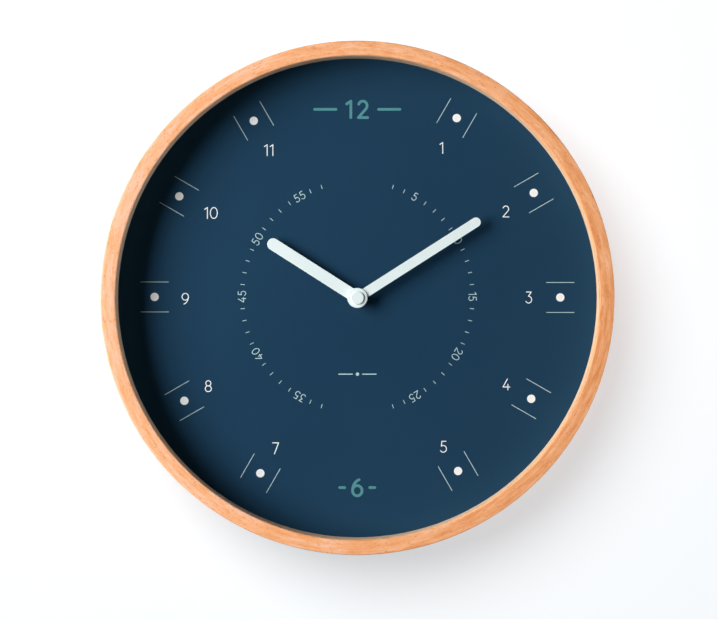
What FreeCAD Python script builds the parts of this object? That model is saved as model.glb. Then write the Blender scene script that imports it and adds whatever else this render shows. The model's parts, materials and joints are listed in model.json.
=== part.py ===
import FreeCAD, Part
import math
import os
import re

import Sketcher

# A plain round wall clock in a bent wood rim, with its quartz movement, battery and gear train.
# The wall is the plane y = 0. The dial faces -Y, twelve points to +Z, and the origin lies on the
# clock's axis. A "depth" is a distance out from the wall, so a depth of 24 is the plane y = -24.
# Angles of arbors are turned from +X towards +Z, anticlockwise as the dial is read.

Vector = FreeCAD.Vector

SIZES = {
    # wooden rim, and what is dropped into it from behind
    "rim_radius": 150.0,
    "rim_depth": 44.0,
    "rim_wall": 6.4,
    "lip_width": 8.6,
    "lip_thickness": 2.6,
    "rim_chamfer": 1.0,
    "rim_fit": 0.3,
    "glass_thickness": 2.0,
    "hoop_length": 15.4,
    "board_thickness": 3.5,
    "dial_hole_gap": 0.2,
    "point_thickness": 0.6,
    "point_width": 8.0,
    "point_tip": 4.0,
    "point_length": 11.0,
    "point_bite": 4.5,
    "point_count": 8,
    # hanger clamped between the board and the movement
    "hanger_thickness": 0.8,
    "hanger_width": 22.0,
    "hanger_tail": 9.0,
    "hanger_clear": 1.3,
    "hanger_set_back": 3.0,
    "hanger_tab": 29.0,
    "hanger_chamfer": 4.0,
    "keyhole_radius": 4.5,
    "keyhole_rise": 13.0,
    "keyhole_slot": 4.0,
    "keyhole_travel": 8.0,
    "rubber_thickness": 1.0,
    "rubber_half_width": 9.0,
    # threaded bush, washer and nut in front of the dial
    "bush_radius": 3.5,
    "washer_thickness": 0.5,
    "washer_radius": 5.5,
    "washer_fit": 0.15,
    "nut_thickness": 2.0,
    "nut_flats": 9.0,
    "nut_turn": 15.0,
    "nut_chamfer": 0.25,
    "thread_spare": 0.5,
    # movement housing
    "front_wall": 1.0,
    "side_wall": 1.2,
    "corner_chamfer": 2.0,
    "bay_wall": 1.0,
    "mechanism_drop": 10.9,
    "mechanism_rise": 26.9,
    "cover_thickness": 1.0,
    "skirt_height": 1.2,
    "skirt_wall": 0.9,
    "skirt_fit": 0.15,
    "strip_notch": 1.1,
    # battery and its contacts
    "battery_radius": 7.25,
    "battery_can": 49.5,
    "battery_nub": 1.0,
    "nub_radius": 2.75,
    "battery_gap": 0.25,
    "contact_room": 1.55,
    "contact_sheet": 0.3,
    "contact_width": 8.0,
    "contact_height": 11.0,
    "contact_dimple": 1.8,
    "strip_width": 2.0,
    "tongue_width": 5.0,
    # bridge plate that carries the going train
    "plate_thickness": 1.0,
    "plate_gap": 0.5,
    "plate_rise": 17.0,
    "plate_drop": 10.4,
    "plate_inset": 1.4,
    "post_half_width": 1.5,
    "post_peg": 0.8,
    "post_edge": 3.6,
    "post_drop": 8.0,
    "post_rise": 14.6,
    "peg_proud": 0.4,
    "peg_fit": 0.1,
    # circuit board, chip and crystal
    "circuit_thickness": 0.8,
    "circuit_stand": 2.3,
    "circuit_low": 17.9,
    "circuit_high": 26.3,
    "circuit_post_half_width": 1.2,
    "circuit_post_place": 20.0,
    "chip_width": 4.0,
    "chip_height": 0.8,
    "chip_place": 23.0,
    "crystal_radius": 1.0,
    "crystal_length": 6.0,
    "crystal_place": 13.5,
    # stepping motor
    "coil_height": 22.0,
    "coil_radius": 3.3,
    "bobbin_gap": 1.0,
    "bobbin_flange_half_width": 3.5,
    "bobbin_flange_width": 1.0,
    "bobbin_wall": 0.6,
    "core_length": 33.0,
    "core_reach": 6.5,
    "core_width": 3.0,
    "lamination": 1.0,
    "stator_gap": 1.1,
    "stator_leg": 3.0,
    "stator_bar": 3.8,
    "stator_ring": 4.7,
    "stator_bore": 3.4,
    "stator_notch": 0.5,
    "stator_peg": 0.6,
    "stator_collar": 1.1,
    "magnet_radius": 2.9,
    "magnet_length": 2.0,
    # arbors and gears
    "running_gap": 0.08,
    "arbor_radius": 0.5,
    "arbor_sides": 8,
    "pivot_length": 0.65,
    "arbor_shake": 0.15,
    "wheel_thickness": 0.8,
    "wheel_step": 2.2,
    "hour_wheel_gap": 1.6,
    "centre_wheel_gap": 0.8,
    "pinion_overlap": 0.5,
    "cannon_overlap": 0.25,
    "pressure_angle": 20.0,
    "tooth_thinning": 0.03,
    "pinion_addendum_share": 0.7,
    "wheel_addendum_share": 0.85,
    "dedendum_share": 1.15,
    "gap_apex_share": 1.25,
    "rotor_distance": 8.4,
    "rotor_angle": 151.0,
    "step_distance": 9.8,
    "step_angle": 65.0,
    "third_distance": 10.8,
    "third_angle": 181.0,
    "setting_distance": 11.4,
    "setting_angle": -4.0,
    "rotor_teeth": 6,
    "step_wheel_teeth": 24,
    "step_pinion_teeth": 6,
    "third_wheel_teeth": 30,
    "third_pinion_teeth": 6,
    "centre_wheel_teeth": 36,
    "cannon_teeth": 8,
    "minute_wheel_teeth": 24,
    "minute_pinion_teeth": 6,
    "hour_wheel_teeth": 24,
    # shafts that come through the dial
    "minute_arbor_radius": 1.6,
    "minute_foot_radius": 1.9,
    "clutch_hub_radius": 2.6,
    "hour_pipe_radius": 2.5,
    # setting knob behind the movement
    "setting_arbor_radius": 0.8,
    "knob_radius": 5.0,
    "knob_thickness": 1.75,
    "knob_shake": 0.15,
    "knob_flute": 0.7,
    "knob_flutes": 12,
    # hands, collets and cap
    "hand_gap": 0.6,
    "hand_thickness": 0.6,
    "collet_length": 0.6,
    "collet_wall": 1.0,
    "shaft_proud": 0.2,
    "hour_hand_length": 62.3,
    "hour_hand_width": 7.1,
    "hour_hand_angle": 302.5,
    "minute_hand_length": 85.5,
    "minute_hand_width": 5.7,
    "minute_hand_angle": 57.45,
    "cap_radius": 5.9,
    "cap_flange": 0.9,
    "cap_top_radius": 3.75,
    "cap_top": 1.0,
    "cap_gap": 0.2,
    "cap_grip": 0.8,
}

# Depths and radii that follow from the sizes above, from the front of the clock to the back.
LIP_RADIUS = "(rim_radius - lip_width)"
RIM_BORE = "(rim_radius - rim_wall)"
DISC_RADIUS = f"({RIM_BORE} - rim_fit)"
LIP_BACK = "(rim_depth - lip_thickness)"
GLASS_BACK = f"({LIP_BACK} - glass_thickness)"
DIAL_FRONT = f"({GLASS_BACK} - hoop_length)"
BOARD_BACK = f"({DIAL_FRONT} - board_thickness)"
DIAL_HOLE = "(bush_radius + dial_hole_gap)"
HANGER_BACK = f"({BOARD_BACK} - hanger_thickness)"
MOVEMENT_FRONT = f"({HANGER_BACK} - rubber_thickness)"
BASE_INSIDE = f"({MOVEMENT_FRONT} - front_wall)"
BATTERY_DEPTH = f"({BASE_INSIDE} - battery_gap - battery_radius)"
MOVEMENT_BACK = f"({BATTERY_DEPTH} - battery_radius - battery_gap)"
COVER_INSIDE = f"({MOVEMENT_BACK} + cover_thickness)"
WASHER_FRONT = f"({DIAL_FRONT} + washer_thickness)"
NUT_FRONT = f"({WASHER_FRONT} + nut_thickness)"
BUSH_FRONT = f"({NUT_FRONT} + thread_spare)"
BUSH_BORE = "(hour_pipe_radius + running_gap)"

# Plan of the movement: half its width, its top, its foot and the battery's height.
HALF_WIDTH = "(battery_can / 2 + battery_nub / 2 + contact_room + side_wall)"
INNER_WIDTH = f"({HALF_WIDTH} - side_wall)"
MOVEMENT_TOP = "(mechanism_rise + side_wall)"
BATTERY_DROP = "(mechanism_drop + bay_wall + battery_gap + battery_radius)"
BAY_TOP = "(mechanism_drop + bay_wall)"
BAY_FOOT = f"({BATTERY_DROP} + battery_radius + battery_gap)"
MOVEMENT_FOOT = f"({BAY_FOOT} + side_wall)"

# Levels of the wheels, each one the depth of the wheel's back face.
HOUR_LEVEL = f"({BASE_INSIDE} - hour_wheel_gap - wheel_thickness)"
MINUTE_LEVEL = f"({HOUR_LEVEL} - wheel_step)"
PLATE_FRONT = f"({MINUTE_LEVEL} - plate_gap)"
PLATE_BACK = f"({PLATE_FRONT} - plate_thickness)"
CENTRE_LEVEL = f"({PLATE_BACK} - centre_wheel_gap - wheel_thickness)"
STEP_LEVEL = f"({CENTRE_LEVEL} - wheel_step)"
THIRD_LEVEL = f"({STEP_LEVEL} - wheel_step)"
STATOR_FRONT = f"({PLATE_BACK} - stator_gap)"
STATOR_BACK = f"({STATOR_FRONT} - lamination)"
CORE_BACK = f"({STATOR_BACK} - lamination)"
CORE_DEPTH = f"({STATOR_BACK} - lamination / 2)"
CIRCUIT_FRONT = f"({BASE_INSIDE} - circuit_stand)"
CIRCUIT_BACK = f"({CIRCUIT_FRONT} - circuit_thickness)"

# Places of the arbors beside the clock's axis, across and up.
THIRD_ARBOR = ("third_distance * cos(third_angle * 1 deg)", "third_distance * sin(third_angle * 1 deg)")
STEP_ARBOR = (
    f"{THIRD_ARBOR[0]} + step_distance * cos(step_angle * 1 deg)",
    f"{THIRD_ARBOR[1]} + step_distance * sin(step_angle * 1 deg)",
)
ROTOR_ARBOR = (
    f"{STEP_ARBOR[0]} + rotor_distance * cos(rotor_angle * 1 deg)",
    f"{STEP_ARBOR[1]} + rotor_distance * sin(rotor_angle * 1 deg)",
)
SETTING_ARBOR = (
    "setting_distance * cos(setting_angle * 1 deg)",
    "setting_distance * sin(setting_angle * 1 deg)",
)
CENTRE = ("0", "0")

# Depths of what the hands stand on.
HOUR_COLLET_BACK = f"({BUSH_FRONT} + hand_gap)"
HOUR_HAND_BACK = f"({HOUR_COLLET_BACK} + collet_length)"
HOUR_HAND_FRONT = f"({HOUR_HAND_BACK} + hand_thickness)"
HOUR_PIPE_FRONT = f"({HOUR_HAND_FRONT} + shaft_proud)"
MINUTE_COLLET_BACK = f"({HOUR_PIPE_FRONT} + hand_gap)"
MINUTE_HAND_BACK = f"({MINUTE_COLLET_BACK} + collet_length)"
MINUTE_HAND_FRONT = f"({MINUTE_HAND_BACK} + hand_thickness)"
CAP_BACK = f"({MINUTE_HAND_FRONT} + cap_gap)"
CAP_SHOULDER = f"({CAP_BACK} + cap_flange)"
MINUTE_ARBOR_FRONT = f"({CAP_BACK} + cap_grip)"

document = FreeCAD.newDocument("WallClock")
sheet = document.addObject("Spreadsheet::Sheet", "Sizes")


def fill_sheet():
    """Write each driving dimension beside its name, as a cell with an alias."""
    for row, (name, size) in enumerate(SIZES.items(), start=1):
        sheet.set(f"A{row}", name)
        sheet.set(f"B{row}", str(size))
        sheet.setAlias(f"B{row}", name)
    document.recompute()


def formula(text):
    """Turn the names of sizes in a formula into cells of the sheet."""
    return re.sub(r"[a-z_]+", lambda word: f"Sizes.{word[0]}" if word[0] in SIZES else word[0], text)


def value(text):
    """Work a size formula out as a number."""
    return float(sheet.evalExpression(formula(text)))


def bind(feature, field, text):
    """Tie one property of a feature to a size formula."""
    feature.setExpression(field, formula(text))


def new_body(label, place=CENTRE):
    """Start a sub-part whose own axis stands at a place across and up from the clock's axis."""
    body = document.addObject("PartDesign::Body", label)
    body.Label = label
    if place != CENTRE:
        bind(body, ".Placement.Base.x", place[0])
        bind(body, ".Placement.Base.z", place[1])
    return body


def origin_plane(body, role):
    """Find one of a body's own origin planes or axes."""
    return next(feature for feature in body.Origin.OriginFeatures if feature.Role == role)


class Drawing:
    """A sketch of a body, drawn with size formulas.

    A "front" drawing runs across and up as the dial is read, at a depth. A "section" drawing runs
    out from the body's axis and forward in depth. A "side" drawing runs forward in depth and up,
    at a distance to the right of the body's axis.
    """

    FRAMES = {
        "front": ("XZ_Plane", FreeCAD.Rotation(Vector(0, 0, 1), 0)),
        "section": ("XY_Plane", FreeCAD.Rotation(Vector(1, 0, 0), 180)),
        "side": ("YZ_Plane", FreeCAD.Rotation(Vector(0, 1, 0), 180)),
    }

    def __init__(self, body, name, frame="front", offset="0", turn=None):
        plane, rotation = self.FRAMES[frame]
        self.body = body
        self.sketch = body.newObject("Sketcher::SketchObject", name)
        self.sketch.AttachmentSupport = [(origin_plane(body, plane), "")]
        self.sketch.MapMode = "FlatFace"
        if turn is not None:
            rotation = FreeCAD.Rotation(Vector(0, 0, 1), value(turn))
        self.sketch.AttachmentOffset = FreeCAD.Placement(Vector(), rotation)
        if offset != "0":
            bind(self.sketch, "AttachmentOffset.Base.z", offset)
        if turn is not None:
            bind(self.sketch, "AttachmentOffset.Rotation.Angle", f"({turn}) * 1 deg")

    def constrain(self, kind, *numbers, size=None):
        """Add a constraint, tied to a size formula where it has one."""
        if size is not None:
            numbers = (*numbers, value(size))
        index = self.sketch.addConstraint(Sketcher.Constraint(kind, *numbers))
        if size is not None:
            bind(self.sketch, f"Constraints[{index}]", size)

    def pin(self, geometry, point, place):
        """Hold one point of the geometry at a place."""
        across, up = place
        if across == "0":
            self.constrain("PointOnObject", geometry, point, -2)
        else:
            self.constrain("DistanceX", -1, 1, geometry, point, size=across)
        if up == "0":
            self.constrain("PointOnObject", geometry, point, -1)
        else:
            self.constrain("DistanceY", -1, 1, geometry, point, size=up)

    def outline(self, places):
        """Draw a closed outline of straight lines from place to place."""
        spots = [Vector(value(across), value(up)) for across, up in places]
        first = self.sketch.GeometryCount
        for here, there in zip(spots, spots[1:] + spots[:1]):
            self.sketch.addGeometry(Part.LineSegment(here, there))
        for index, place in enumerate(places):
            following = first + (index + 1) % len(places)
            self.constrain("Coincident", first + index, 2, following, 1)
            self.pin(first + index, 1, place)
        return self

    def rectangle(self, left, right, low, high):
        """Draw a rectangle between two places across and two places up."""
        return self.outline([(left, low), (right, low), (right, high), (left, high)])

    def circle(self, radius, place=CENTRE):
        """Draw a circle round a place."""
        middle = Vector(value(place[0]), value(place[1]))
        index = self.sketch.addGeometry(Part.Circle(middle, Vector(0, 0, 1), value(radius)))
        self.constrain("Radius", index, size=radius)
        self.pin(index, 3, place)
        return self

    def square(self, half_width, place):
        """Draw a square round a place."""
        across, up = place
        return self.rectangle(
            f"{across} - {half_width}", f"{across} + {half_width}",
            f"{up} - {half_width}", f"{up} + {half_width}",
        )

    def polygon(self, sides, radius, place=CENTRE, turn="0"):
        """Draw a regular polygon round a place, one corner turned from the right."""
        corners = []
        for index in range(sides):
            angle = f"(({turn} + {index} * 360 / {sides}) * 1 deg)"
            corners.append(
                (f"{place[0]} + {radius} * cos({angle})", f"{place[1]} + {radius} * sin({angle})"))
        return self.outline(corners)

    def slot(self, half_width, low, high):
        """Draw an upright slot: two half-rounds about a low and a high centre, and two sides."""
        half, floor, ceiling = value(half_width), value(low), value(high)
        sketch, normal = self.sketch, Vector(0, 0, 1)
        top = sketch.addGeometry(Part.ArcOfCircle(Part.Circle(Vector(0, ceiling), normal, half), 0, math.pi))
        left = sketch.addGeometry(Part.LineSegment(Vector(-half, ceiling), Vector(-half, floor)))
        bottom = sketch.addGeometry(
            Part.ArcOfCircle(Part.Circle(Vector(0, floor), normal, half), math.pi, 2 * math.pi))
        right = sketch.addGeometry(Part.LineSegment(Vector(half, floor), Vector(half, ceiling)))
        for arc, centre in ((top, high), (bottom, low)):
            self.pin(arc, 3, ("0", centre))
            self.constrain("Radius", arc, size=half_width)
        for first, second in ((top, left), (left, bottom), (bottom, right), (right, top)):
            self.constrain("Tangent", first, 2, second, 1)
        return self


def extrude(kind, name, drawing, length, reverse=False, midplane=False):
    """Pad or pocket a drawing over a length, or half of it to each side."""
    feature = drawing.body.newObject(f"PartDesign::{kind}", name)
    feature.Profile = drawing.sketch
    bind(feature, "Length", length)
    feature.Reversed = reverse
    feature.Midplane = midplane
    return feature


def pad(name, drawing, length, reverse=False, midplane=False):
    """Raise a drawing; a front drawing rises forward, towards the reader of the dial."""
    return extrude("Pad", name, drawing, length, reverse, midplane)


def pocket(name, drawing, length, forward=False, midplane=False):
    """Cut a drawing in; a front drawing cuts back, or forward where that is asked for."""
    document.recompute()
    before = drawing.body.Shape.Volume
    feature = extrude("Pocket", name, drawing, length, forward, midplane)
    document.recompute()
    if not feature.Shape.Volume < before:
        raise ValueError(f"{name} cuts nothing")
    return feature


def polar_pattern(name, feature, count):
    """Repeat a feature round the body's own axis."""
    body = feature.getParentGeoFeatureGroup()
    pattern = body.newObject("PartDesign::PolarPattern", name)
    pattern.Originals = [feature]
    pattern.Axis = (origin_plane(body, "Y_Axis"), [""])
    pattern.Angle = 360
    bind(pattern, "Occurrences", count)
    body.Tip = pattern
    return pattern


def turned(body, name, places):
    """Turn a section, given as radius and depth, about the body's own axis."""
    drawing = Drawing(body, f"{name}Section", "section").outline(places)
    feature = body.newObject("PartDesign::Revolution", name)
    feature.Profile = drawing.sketch
    feature.ReferenceAxis = (drawing.sketch, ["V_Axis"])
    feature.Angle = 360
    return feature


def spindle(body, name, depths, radii, bore="0"):
    """Turn a stepped spindle: each radius runs from one depth to the next."""
    places = [(bore, depths[0])]
    for radius, back, front in zip(radii, depths, depths[1:]):
        places += [(radius, back), (radius, front)]
    places.append((bore, depths[-1]))
    return turned(body, name, places)


def ring(body, name, outer, inner, back, front):
    """Turn a plain ring between two depths."""
    return spindle(body, name, [back, front], [outer], inner)


def prism(body, name, sides, radius, back, front, place=CENTRE, turn="0", kind="Additive"):
    """Add or cut a regular prism between two depths, one corner turned from the right."""
    feature = body.newObject(f"PartDesign::{kind}Prism", name)
    feature.AttachmentSupport = [(origin_plane(body, "XZ_Plane"), "")]
    feature.MapMode = "FlatFace"
    feature.AttachmentOffset = FreeCAD.Placement(Vector(), FreeCAD.Rotation(Vector(0, 0, 1), value(turn)))
    bind(feature, "AttachmentOffset.Rotation.Angle", f"({turn}) * 1 deg")
    bind(feature, "AttachmentOffset.Base.x", place[0])
    bind(feature, "AttachmentOffset.Base.y", place[1])
    bind(feature, "AttachmentOffset.Base.z", back)
    bind(feature, "Polygon", sides)
    bind(feature, "Circumradius", radius)
    bind(feature, "Height", f"{front} - {back}")
    return feature


def soften(body, name, kind, size, wanted):
    """Fillet or chamfer the edges of the body for which wanted(edge) holds."""
    document.recompute()
    base = body.Tip
    edges = [f"Edge{index}" for index, edge in enumerate(base.Shape.Edges, start=1) if wanted(edge)]
    if not edges:
        raise ValueError(f"{name} finds no edge")
    feature = body.newObject(f"PartDesign::{kind}", name)
    feature.Base = (base, edges)
    bind(feature, "Radius" if kind == "Fillet" else "Size", size)
    return feature


def is_upright_corner(edge, half_width, heights):
    """Tell whether an edge runs fore and aft at a corner of a plate."""
    if not isinstance(edge.Curve, Part.Line) or abs(edge.Curve.Direction.y) < math.cos(math.pi / 4):
        return False
    spot = edge.CenterOfMass
    at_side = abs(abs(spot.x) - value(half_width)) < Part.Precision.confusion()
    at_height = any(abs(spot.z - value(height)) < Part.Precision.confusion() for height in heights)
    return at_side and at_height


# Gears. Both wheels of a mesh share one module, which follows from their teeth and the distance of
# their arbors. A flank follows an arc whose centre lies on the base circle and whose radius is the
# involute's own at the pitch circle. Wheels take its chord, and pinions two chords.


def module(distance, teeth, other_teeth):
    """Give the module that fits two gears to the distance of their arbors."""
    return f"(2 * {distance} / ({teeth} + {other_teeth}))"


ROTOR_MODULE = module("rotor_distance", "rotor_teeth", "step_wheel_teeth")
STEP_MODULE = module("step_distance", "step_pinion_teeth", "third_wheel_teeth")
THIRD_MODULE = module("third_distance", "third_pinion_teeth", "centre_wheel_teeth")
CANNON_MODULE = module("setting_distance", "cannon_teeth", "minute_wheel_teeth")
MOTION_MODULE = module("setting_distance", "minute_pinion_teeth", "hour_wheel_teeth")


def gear(body, name, teeth, gear_module, addendum, back, front, gap_angle, pinion=False):
    """Add a toothed wheel: a many-sided blank, with a gap cut at each of its corners.

    Args:
        teeth, gear_module, addendum: formulas of the tooth count, the module and the addendum.
        back, front: the depths that the teeth run between.
        gap_angle: the angle, from +X towards +Z, at which one gap stands.
        pinion: whether each flank gets a point at the pitch circle too.
    """
    pitch = f"({gear_module} * {teeth} / 2)"
    base = f"({pitch} * cos(pressure_angle * 1 deg))"
    bend = f"({pitch} * sin(pressure_angle * 1 deg))"
    root = f"({pitch} - dedendum_share * {gear_module})"
    outer = f"({gear_module} * ({teeth} / 2 + {addendum}))"
    lean = f"(90 / {teeth} + tooth_thinning / {pitch} * 180 / pi + pressure_angle)"

    def flank_angle(radius):
        """Angle from the middle of the gap to its flank at a radius."""
        return f"({lean} * 1 deg - acos(({base}^2 + {radius}^2 - {bend}^2) / (2 * {base} * {radius})))"

    def flank(radius, side):
        """Place of the flank's point at a radius, on one side of the gap."""
        angle = flank_angle(radius)
        return f"{radius} * cos({angle})", f"{side}{radius} * sin({angle})"

    half_pitch = f"(180 deg / {teeth})"
    corner = f"({outer} * cos({half_pitch} - {flank_angle(outer)}) / cos({half_pitch}))"
    prism(body, f"{name}Blank", teeth, corner, back, front, turn=gap_angle)
    levels = [outer, pitch, root] if pinion else [outer, root]
    places = [flank(radius, "-") for radius in levels]
    places += [flank(radius, "") for radius in reversed(levels)]
    places.append((f"gap_apex_share * {corner}", "0"))
    drawing = Drawing(body, f"{name}Gap", "front", front, turn=gap_angle).outline(places)
    gap = pocket(f"{name}GapCut", drawing, f"{front} - {back}")
    return polar_pattern(f"{name}Teeth", gap, teeth)


def arbor(body, back, front, radius="arbor_radius"):
    """Start a gear with its arbor, which is drawn with few sides because so many repeat."""
    return prism(body, "Arbor", "arbor_sides", radius, back, front)


def pivot_holes(body, radius, places, back, front):
    """Cut holes in which the arbors turn: their flats clear the arbor's corners."""
    clear = f"(({radius} + running_gap) / cos(180 deg / arbor_sides))"
    for place in places:
        prism(body, "PivotHole", "arbor_sides", clear, back, front, place, kind="Subtractive")


# Case: rim, glass, hoop, dial board and points, in the order in which they go in from behind.


def make_rim():
    """Bent wood rim with a front lip and an eased front edge."""
    body = new_body("rim")
    turned(body, "Hoop", [
        (RIM_BORE, "0"),
        ("rim_radius", "0"),
        ("rim_radius", "rim_depth - rim_chamfer"),
        ("rim_radius - rim_chamfer", "rim_depth"),
        (LIP_RADIUS, "rim_depth"),
        (LIP_RADIUS, LIP_BACK),
        (RIM_BORE, LIP_BACK),
    ])
    return body


def make_points():
    """Flat steel points driven into the rim, one group of separate plates behind the board."""
    points = []
    start = f"({RIM_BORE} + point_bite - point_length)"
    for index in range(int(value("point_count"))):
        turn = f"({index} * 360 / point_count)"
        point = document.addObject("Part::Wedge", "Point")
        for field, size in (
            ("Xmin", "-point_width / 2"), ("Xmax", "point_width / 2"),
            ("X2min", "-point_tip / 2"), ("X2max", "point_tip / 2"),
            ("Ymin", "0 * point_length"), ("Ymax", "point_length"),
            ("Zmin", "0 * point_thickness"), ("Zmax", "point_thickness"),
            ("Z2min", "0 * point_thickness"), ("Z2max", "point_thickness"),
        ):
            bind(point, field, size)
        outward = FreeCAD.Rotation(Vector(1, 0, 0), 90)
        around = FreeCAD.Rotation(Vector(0, 1, 0), value(turn))
        point.Placement.Rotation = around.multiply(outward)
        bind(point, ".Placement.Base.x", f"{start} * sin({turn} * 1 deg)")
        bind(point, ".Placement.Base.y", f"-({BOARD_BACK} - point_thickness)")
        bind(point, ".Placement.Base.z", f"{start} * cos({turn} * 1 deg)")
        points.append(point)
    group = document.addObject("Part::Compound", "framing_points")
    group.Label = "framing_points"
    group.Links = points
    return group


def make_glass():
    """Flat glass that lies against the back of the lip."""
    body = new_body("glass")
    spindle(body, "Pane", [GLASS_BACK, LIP_BACK], [DISC_RADIUS])
    return body


def make_hoop():
    """Thin wooden hoop that holds the glass and the dial apart."""
    body = new_body("spacer_hoop")
    ring(body, "Strip", DISC_RADIUS, LIP_RADIUS, DIAL_FRONT, GLASS_BACK)
    return body


def make_board():
    """Board with the dial printed on its face and the hole for the bush."""
    body = new_body("dial_board")
    ring(body, "Disc", DISC_RADIUS, DIAL_HOLE, BOARD_BACK, DIAL_FRONT)
    return body


# Hanger, seal, washer and nut on the bush.


def make_hanger():
    """Bent steel strip that is clamped at the bush and rises to a keyhole near the wall."""
    body = new_body("hanger_plate")
    bend = f"({MOVEMENT_TOP} + hanger_clear)"
    tab_top = f"({bend} + hanger_tab)"
    inner = "hanger_set_back"
    outer = "hanger_set_back + hanger_thickness"
    profile = Drawing(body, "Bends", "side").outline([
        (HANGER_BACK, "-hanger_tail"),
        (BOARD_BACK, "-hanger_tail"),
        (BOARD_BACK, f"{bend} + hanger_thickness"),
        (outer, f"{bend} + hanger_thickness"),
        (outer, tab_top),
        (inner, tab_top),
        (inner, bend),
        (HANGER_BACK, bend),
    ])
    pad("Strip", profile, "hanger_width", midplane=True)
    soften(body, "Corners", "Chamfer", "hanger_chamfer",
           lambda edge: is_upright_corner(edge, "hanger_width / 2", [tab_top]))
    bush_hole = Drawing(body, "BushHole", "front", BOARD_BACK).circle(DIAL_HOLE)
    pocket("BushHoleCut", bush_hole, f"{BOARD_BACK} - {HANGER_BACK}")
    entry = ("0", f"{bend} + keyhole_rise")
    keyhole = Drawing(body, "Keyhole", "front", outer).circle("keyhole_radius", entry)
    pocket("KeyholeCut", keyhole, "hanger_thickness")
    slot = Drawing(body, "Slot", "front", outer)
    slot.slot("keyhole_slot / 2", entry[1], f"{entry[1]} + keyhole_travel")
    pocket("SlotCut", slot, "hanger_thickness")
    return body


def make_rubber_pad():
    """Square rubber pad between the movement and the hanger."""
    body = new_body("rubber_pad")
    plan = Drawing(body, "Plan", "front", MOVEMENT_FRONT)
    plan.rectangle("-rubber_half_width", "rubber_half_width", "-rubber_half_width", "rubber_half_width")
    plan.circle(DIAL_HOLE)
    pad("Pad", plan, "rubber_thickness")
    return body


def make_brass_washer():
    """Brass washer on the face of the dial."""
    body = new_body("brass_washer")
    ring(body, "Disc", "washer_radius", "bush_radius + washer_fit", DIAL_FRONT, WASHER_FRONT)
    return body


def make_nut():
    """Thin hexagon nut that clamps the dial, the hanger and the movement together."""
    body = new_body("hex_nut")
    hexagon = Drawing(body, "Hexagon", "front", WASHER_FRONT)
    hexagon.polygon(6, "(nut_flats / 2 / cos(30 deg))", turn="nut_turn")
    hexagon.circle("bush_radius")
    pad("Blank", hexagon, "nut_thickness")
    front = -value(NUT_FRONT)
    soften(body, "Chamfer", "Chamfer", "nut_chamfer",
           lambda edge: isinstance(edge.Curve, Part.Line)
           and edge.BoundBox.YMax - front < value("nut_chamfer"))
    return body


# Movement housing.


POST_ACROSS = f"({INNER_WIDTH} - post_edge)"
POST_PLACES = [
    (f"-{POST_ACROSS}", "-post_drop"),
    (POST_ACROSS, "-post_drop"),
    (f"-{POST_ACROSS}", "post_rise"),
    (POST_ACROSS, "post_rise"),
]
PEG_PLACES = [POST_PLACES[0], POST_PLACES[3]]
CIRCUIT_MIDDLE = "(circuit_low / 2 + circuit_high / 2)"


def drill(body, name, radius, places, back, front):
    """Cut round holes of one radius at several places, from a front depth to a back depth."""
    drawing = Drawing(body, name, "front", front)
    for place in places:
        drawing.circle(radius, place)
    return pocket(f"{name}Cut", drawing, f"{front} - {back}")


def make_base():
    """Front shell of the movement, with the threaded bush, the posts and the battery bay."""
    body = new_body("movement_base")
    half = HALF_WIDTH
    block = Drawing(body, "Plan", "front", COVER_INSIDE)
    block.rectangle(f"-{half}", half, f"-{MOVEMENT_FOOT}", MOVEMENT_TOP)
    pad("Block", block, f"{MOVEMENT_FRONT} - {COVER_INSIDE}")
    corners = [f"-{MOVEMENT_FOOT}", MOVEMENT_TOP]
    soften(body, "Corners", "Chamfer", "corner_chamfer",
           lambda edge: is_upright_corner(edge, half, corners))
    hollow = f"{BASE_INSIDE} - {COVER_INSIDE}"
    room = Drawing(body, "MechanismRoom", "front", COVER_INSIDE)
    room.rectangle(f"-{INNER_WIDTH}", INNER_WIDTH, "-mechanism_drop", "mechanism_rise")
    pocket("MechanismRoomCut", room, hollow, forward=True)
    bay = Drawing(body, "BatteryBay", "front", COVER_INSIDE)
    bay.rectangle(f"-{INNER_WIDTH}", INNER_WIDTH, f"-{BAY_FOOT}", f"-{BAY_TOP}")
    pocket("BatteryBayCut", bay, hollow, forward=True)
    for name, side in (("LeftNotch", "-"), ("RightNotch", "")):
        notch = Drawing(body, name, "front", COVER_INSIDE)
        edges = [f"{side}{INNER_WIDTH}", f"{side}({INNER_WIDTH} - strip_notch)"]
        if side:
            edges.reverse()
        notch.rectangle(edges[1], edges[0], f"-{BAY_TOP}", "-mechanism_drop")
        pocket(f"{name}Cut", notch, hollow, forward=True)
    bush = Drawing(body, "BushPlan", "front", MOVEMENT_FRONT).circle("bush_radius")
    pad("Bush", bush, f"{BUSH_FRONT} - {MOVEMENT_FRONT}")
    drill(body, "BushBore", BUSH_BORE, [CENTRE], BASE_INSIDE, BUSH_FRONT)
    for name, half_width, back, places in (
        ("Posts", "post_half_width", PLATE_FRONT, POST_PLACES),
        ("CircuitPosts", "circuit_post_half_width", CIRCUIT_FRONT, [
            ("-circuit_post_place", CIRCUIT_MIDDLE),
            ("circuit_post_place", CIRCUIT_MIDDLE),
        ]),
    ):
        drawing = Drawing(body, f"{name}Plan", "front", back)
        for place in places:
            drawing.square(half_width, place)
        pad(name, drawing, f"{BASE_INSIDE} - {back}")
    pegs = Drawing(body, "PegPlan", "front", f"{PLATE_BACK} - peg_proud")
    for place in PEG_PLACES:
        pegs.square("post_peg", place)
    pad("Pegs", pegs, "plate_thickness + peg_proud")
    pivot_holes(body, "setting_arbor_radius", [SETTING_ARBOR], BASE_INSIDE,
                f"({BASE_INSIDE} + pivot_length + arbor_shake)")
    return body


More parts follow.
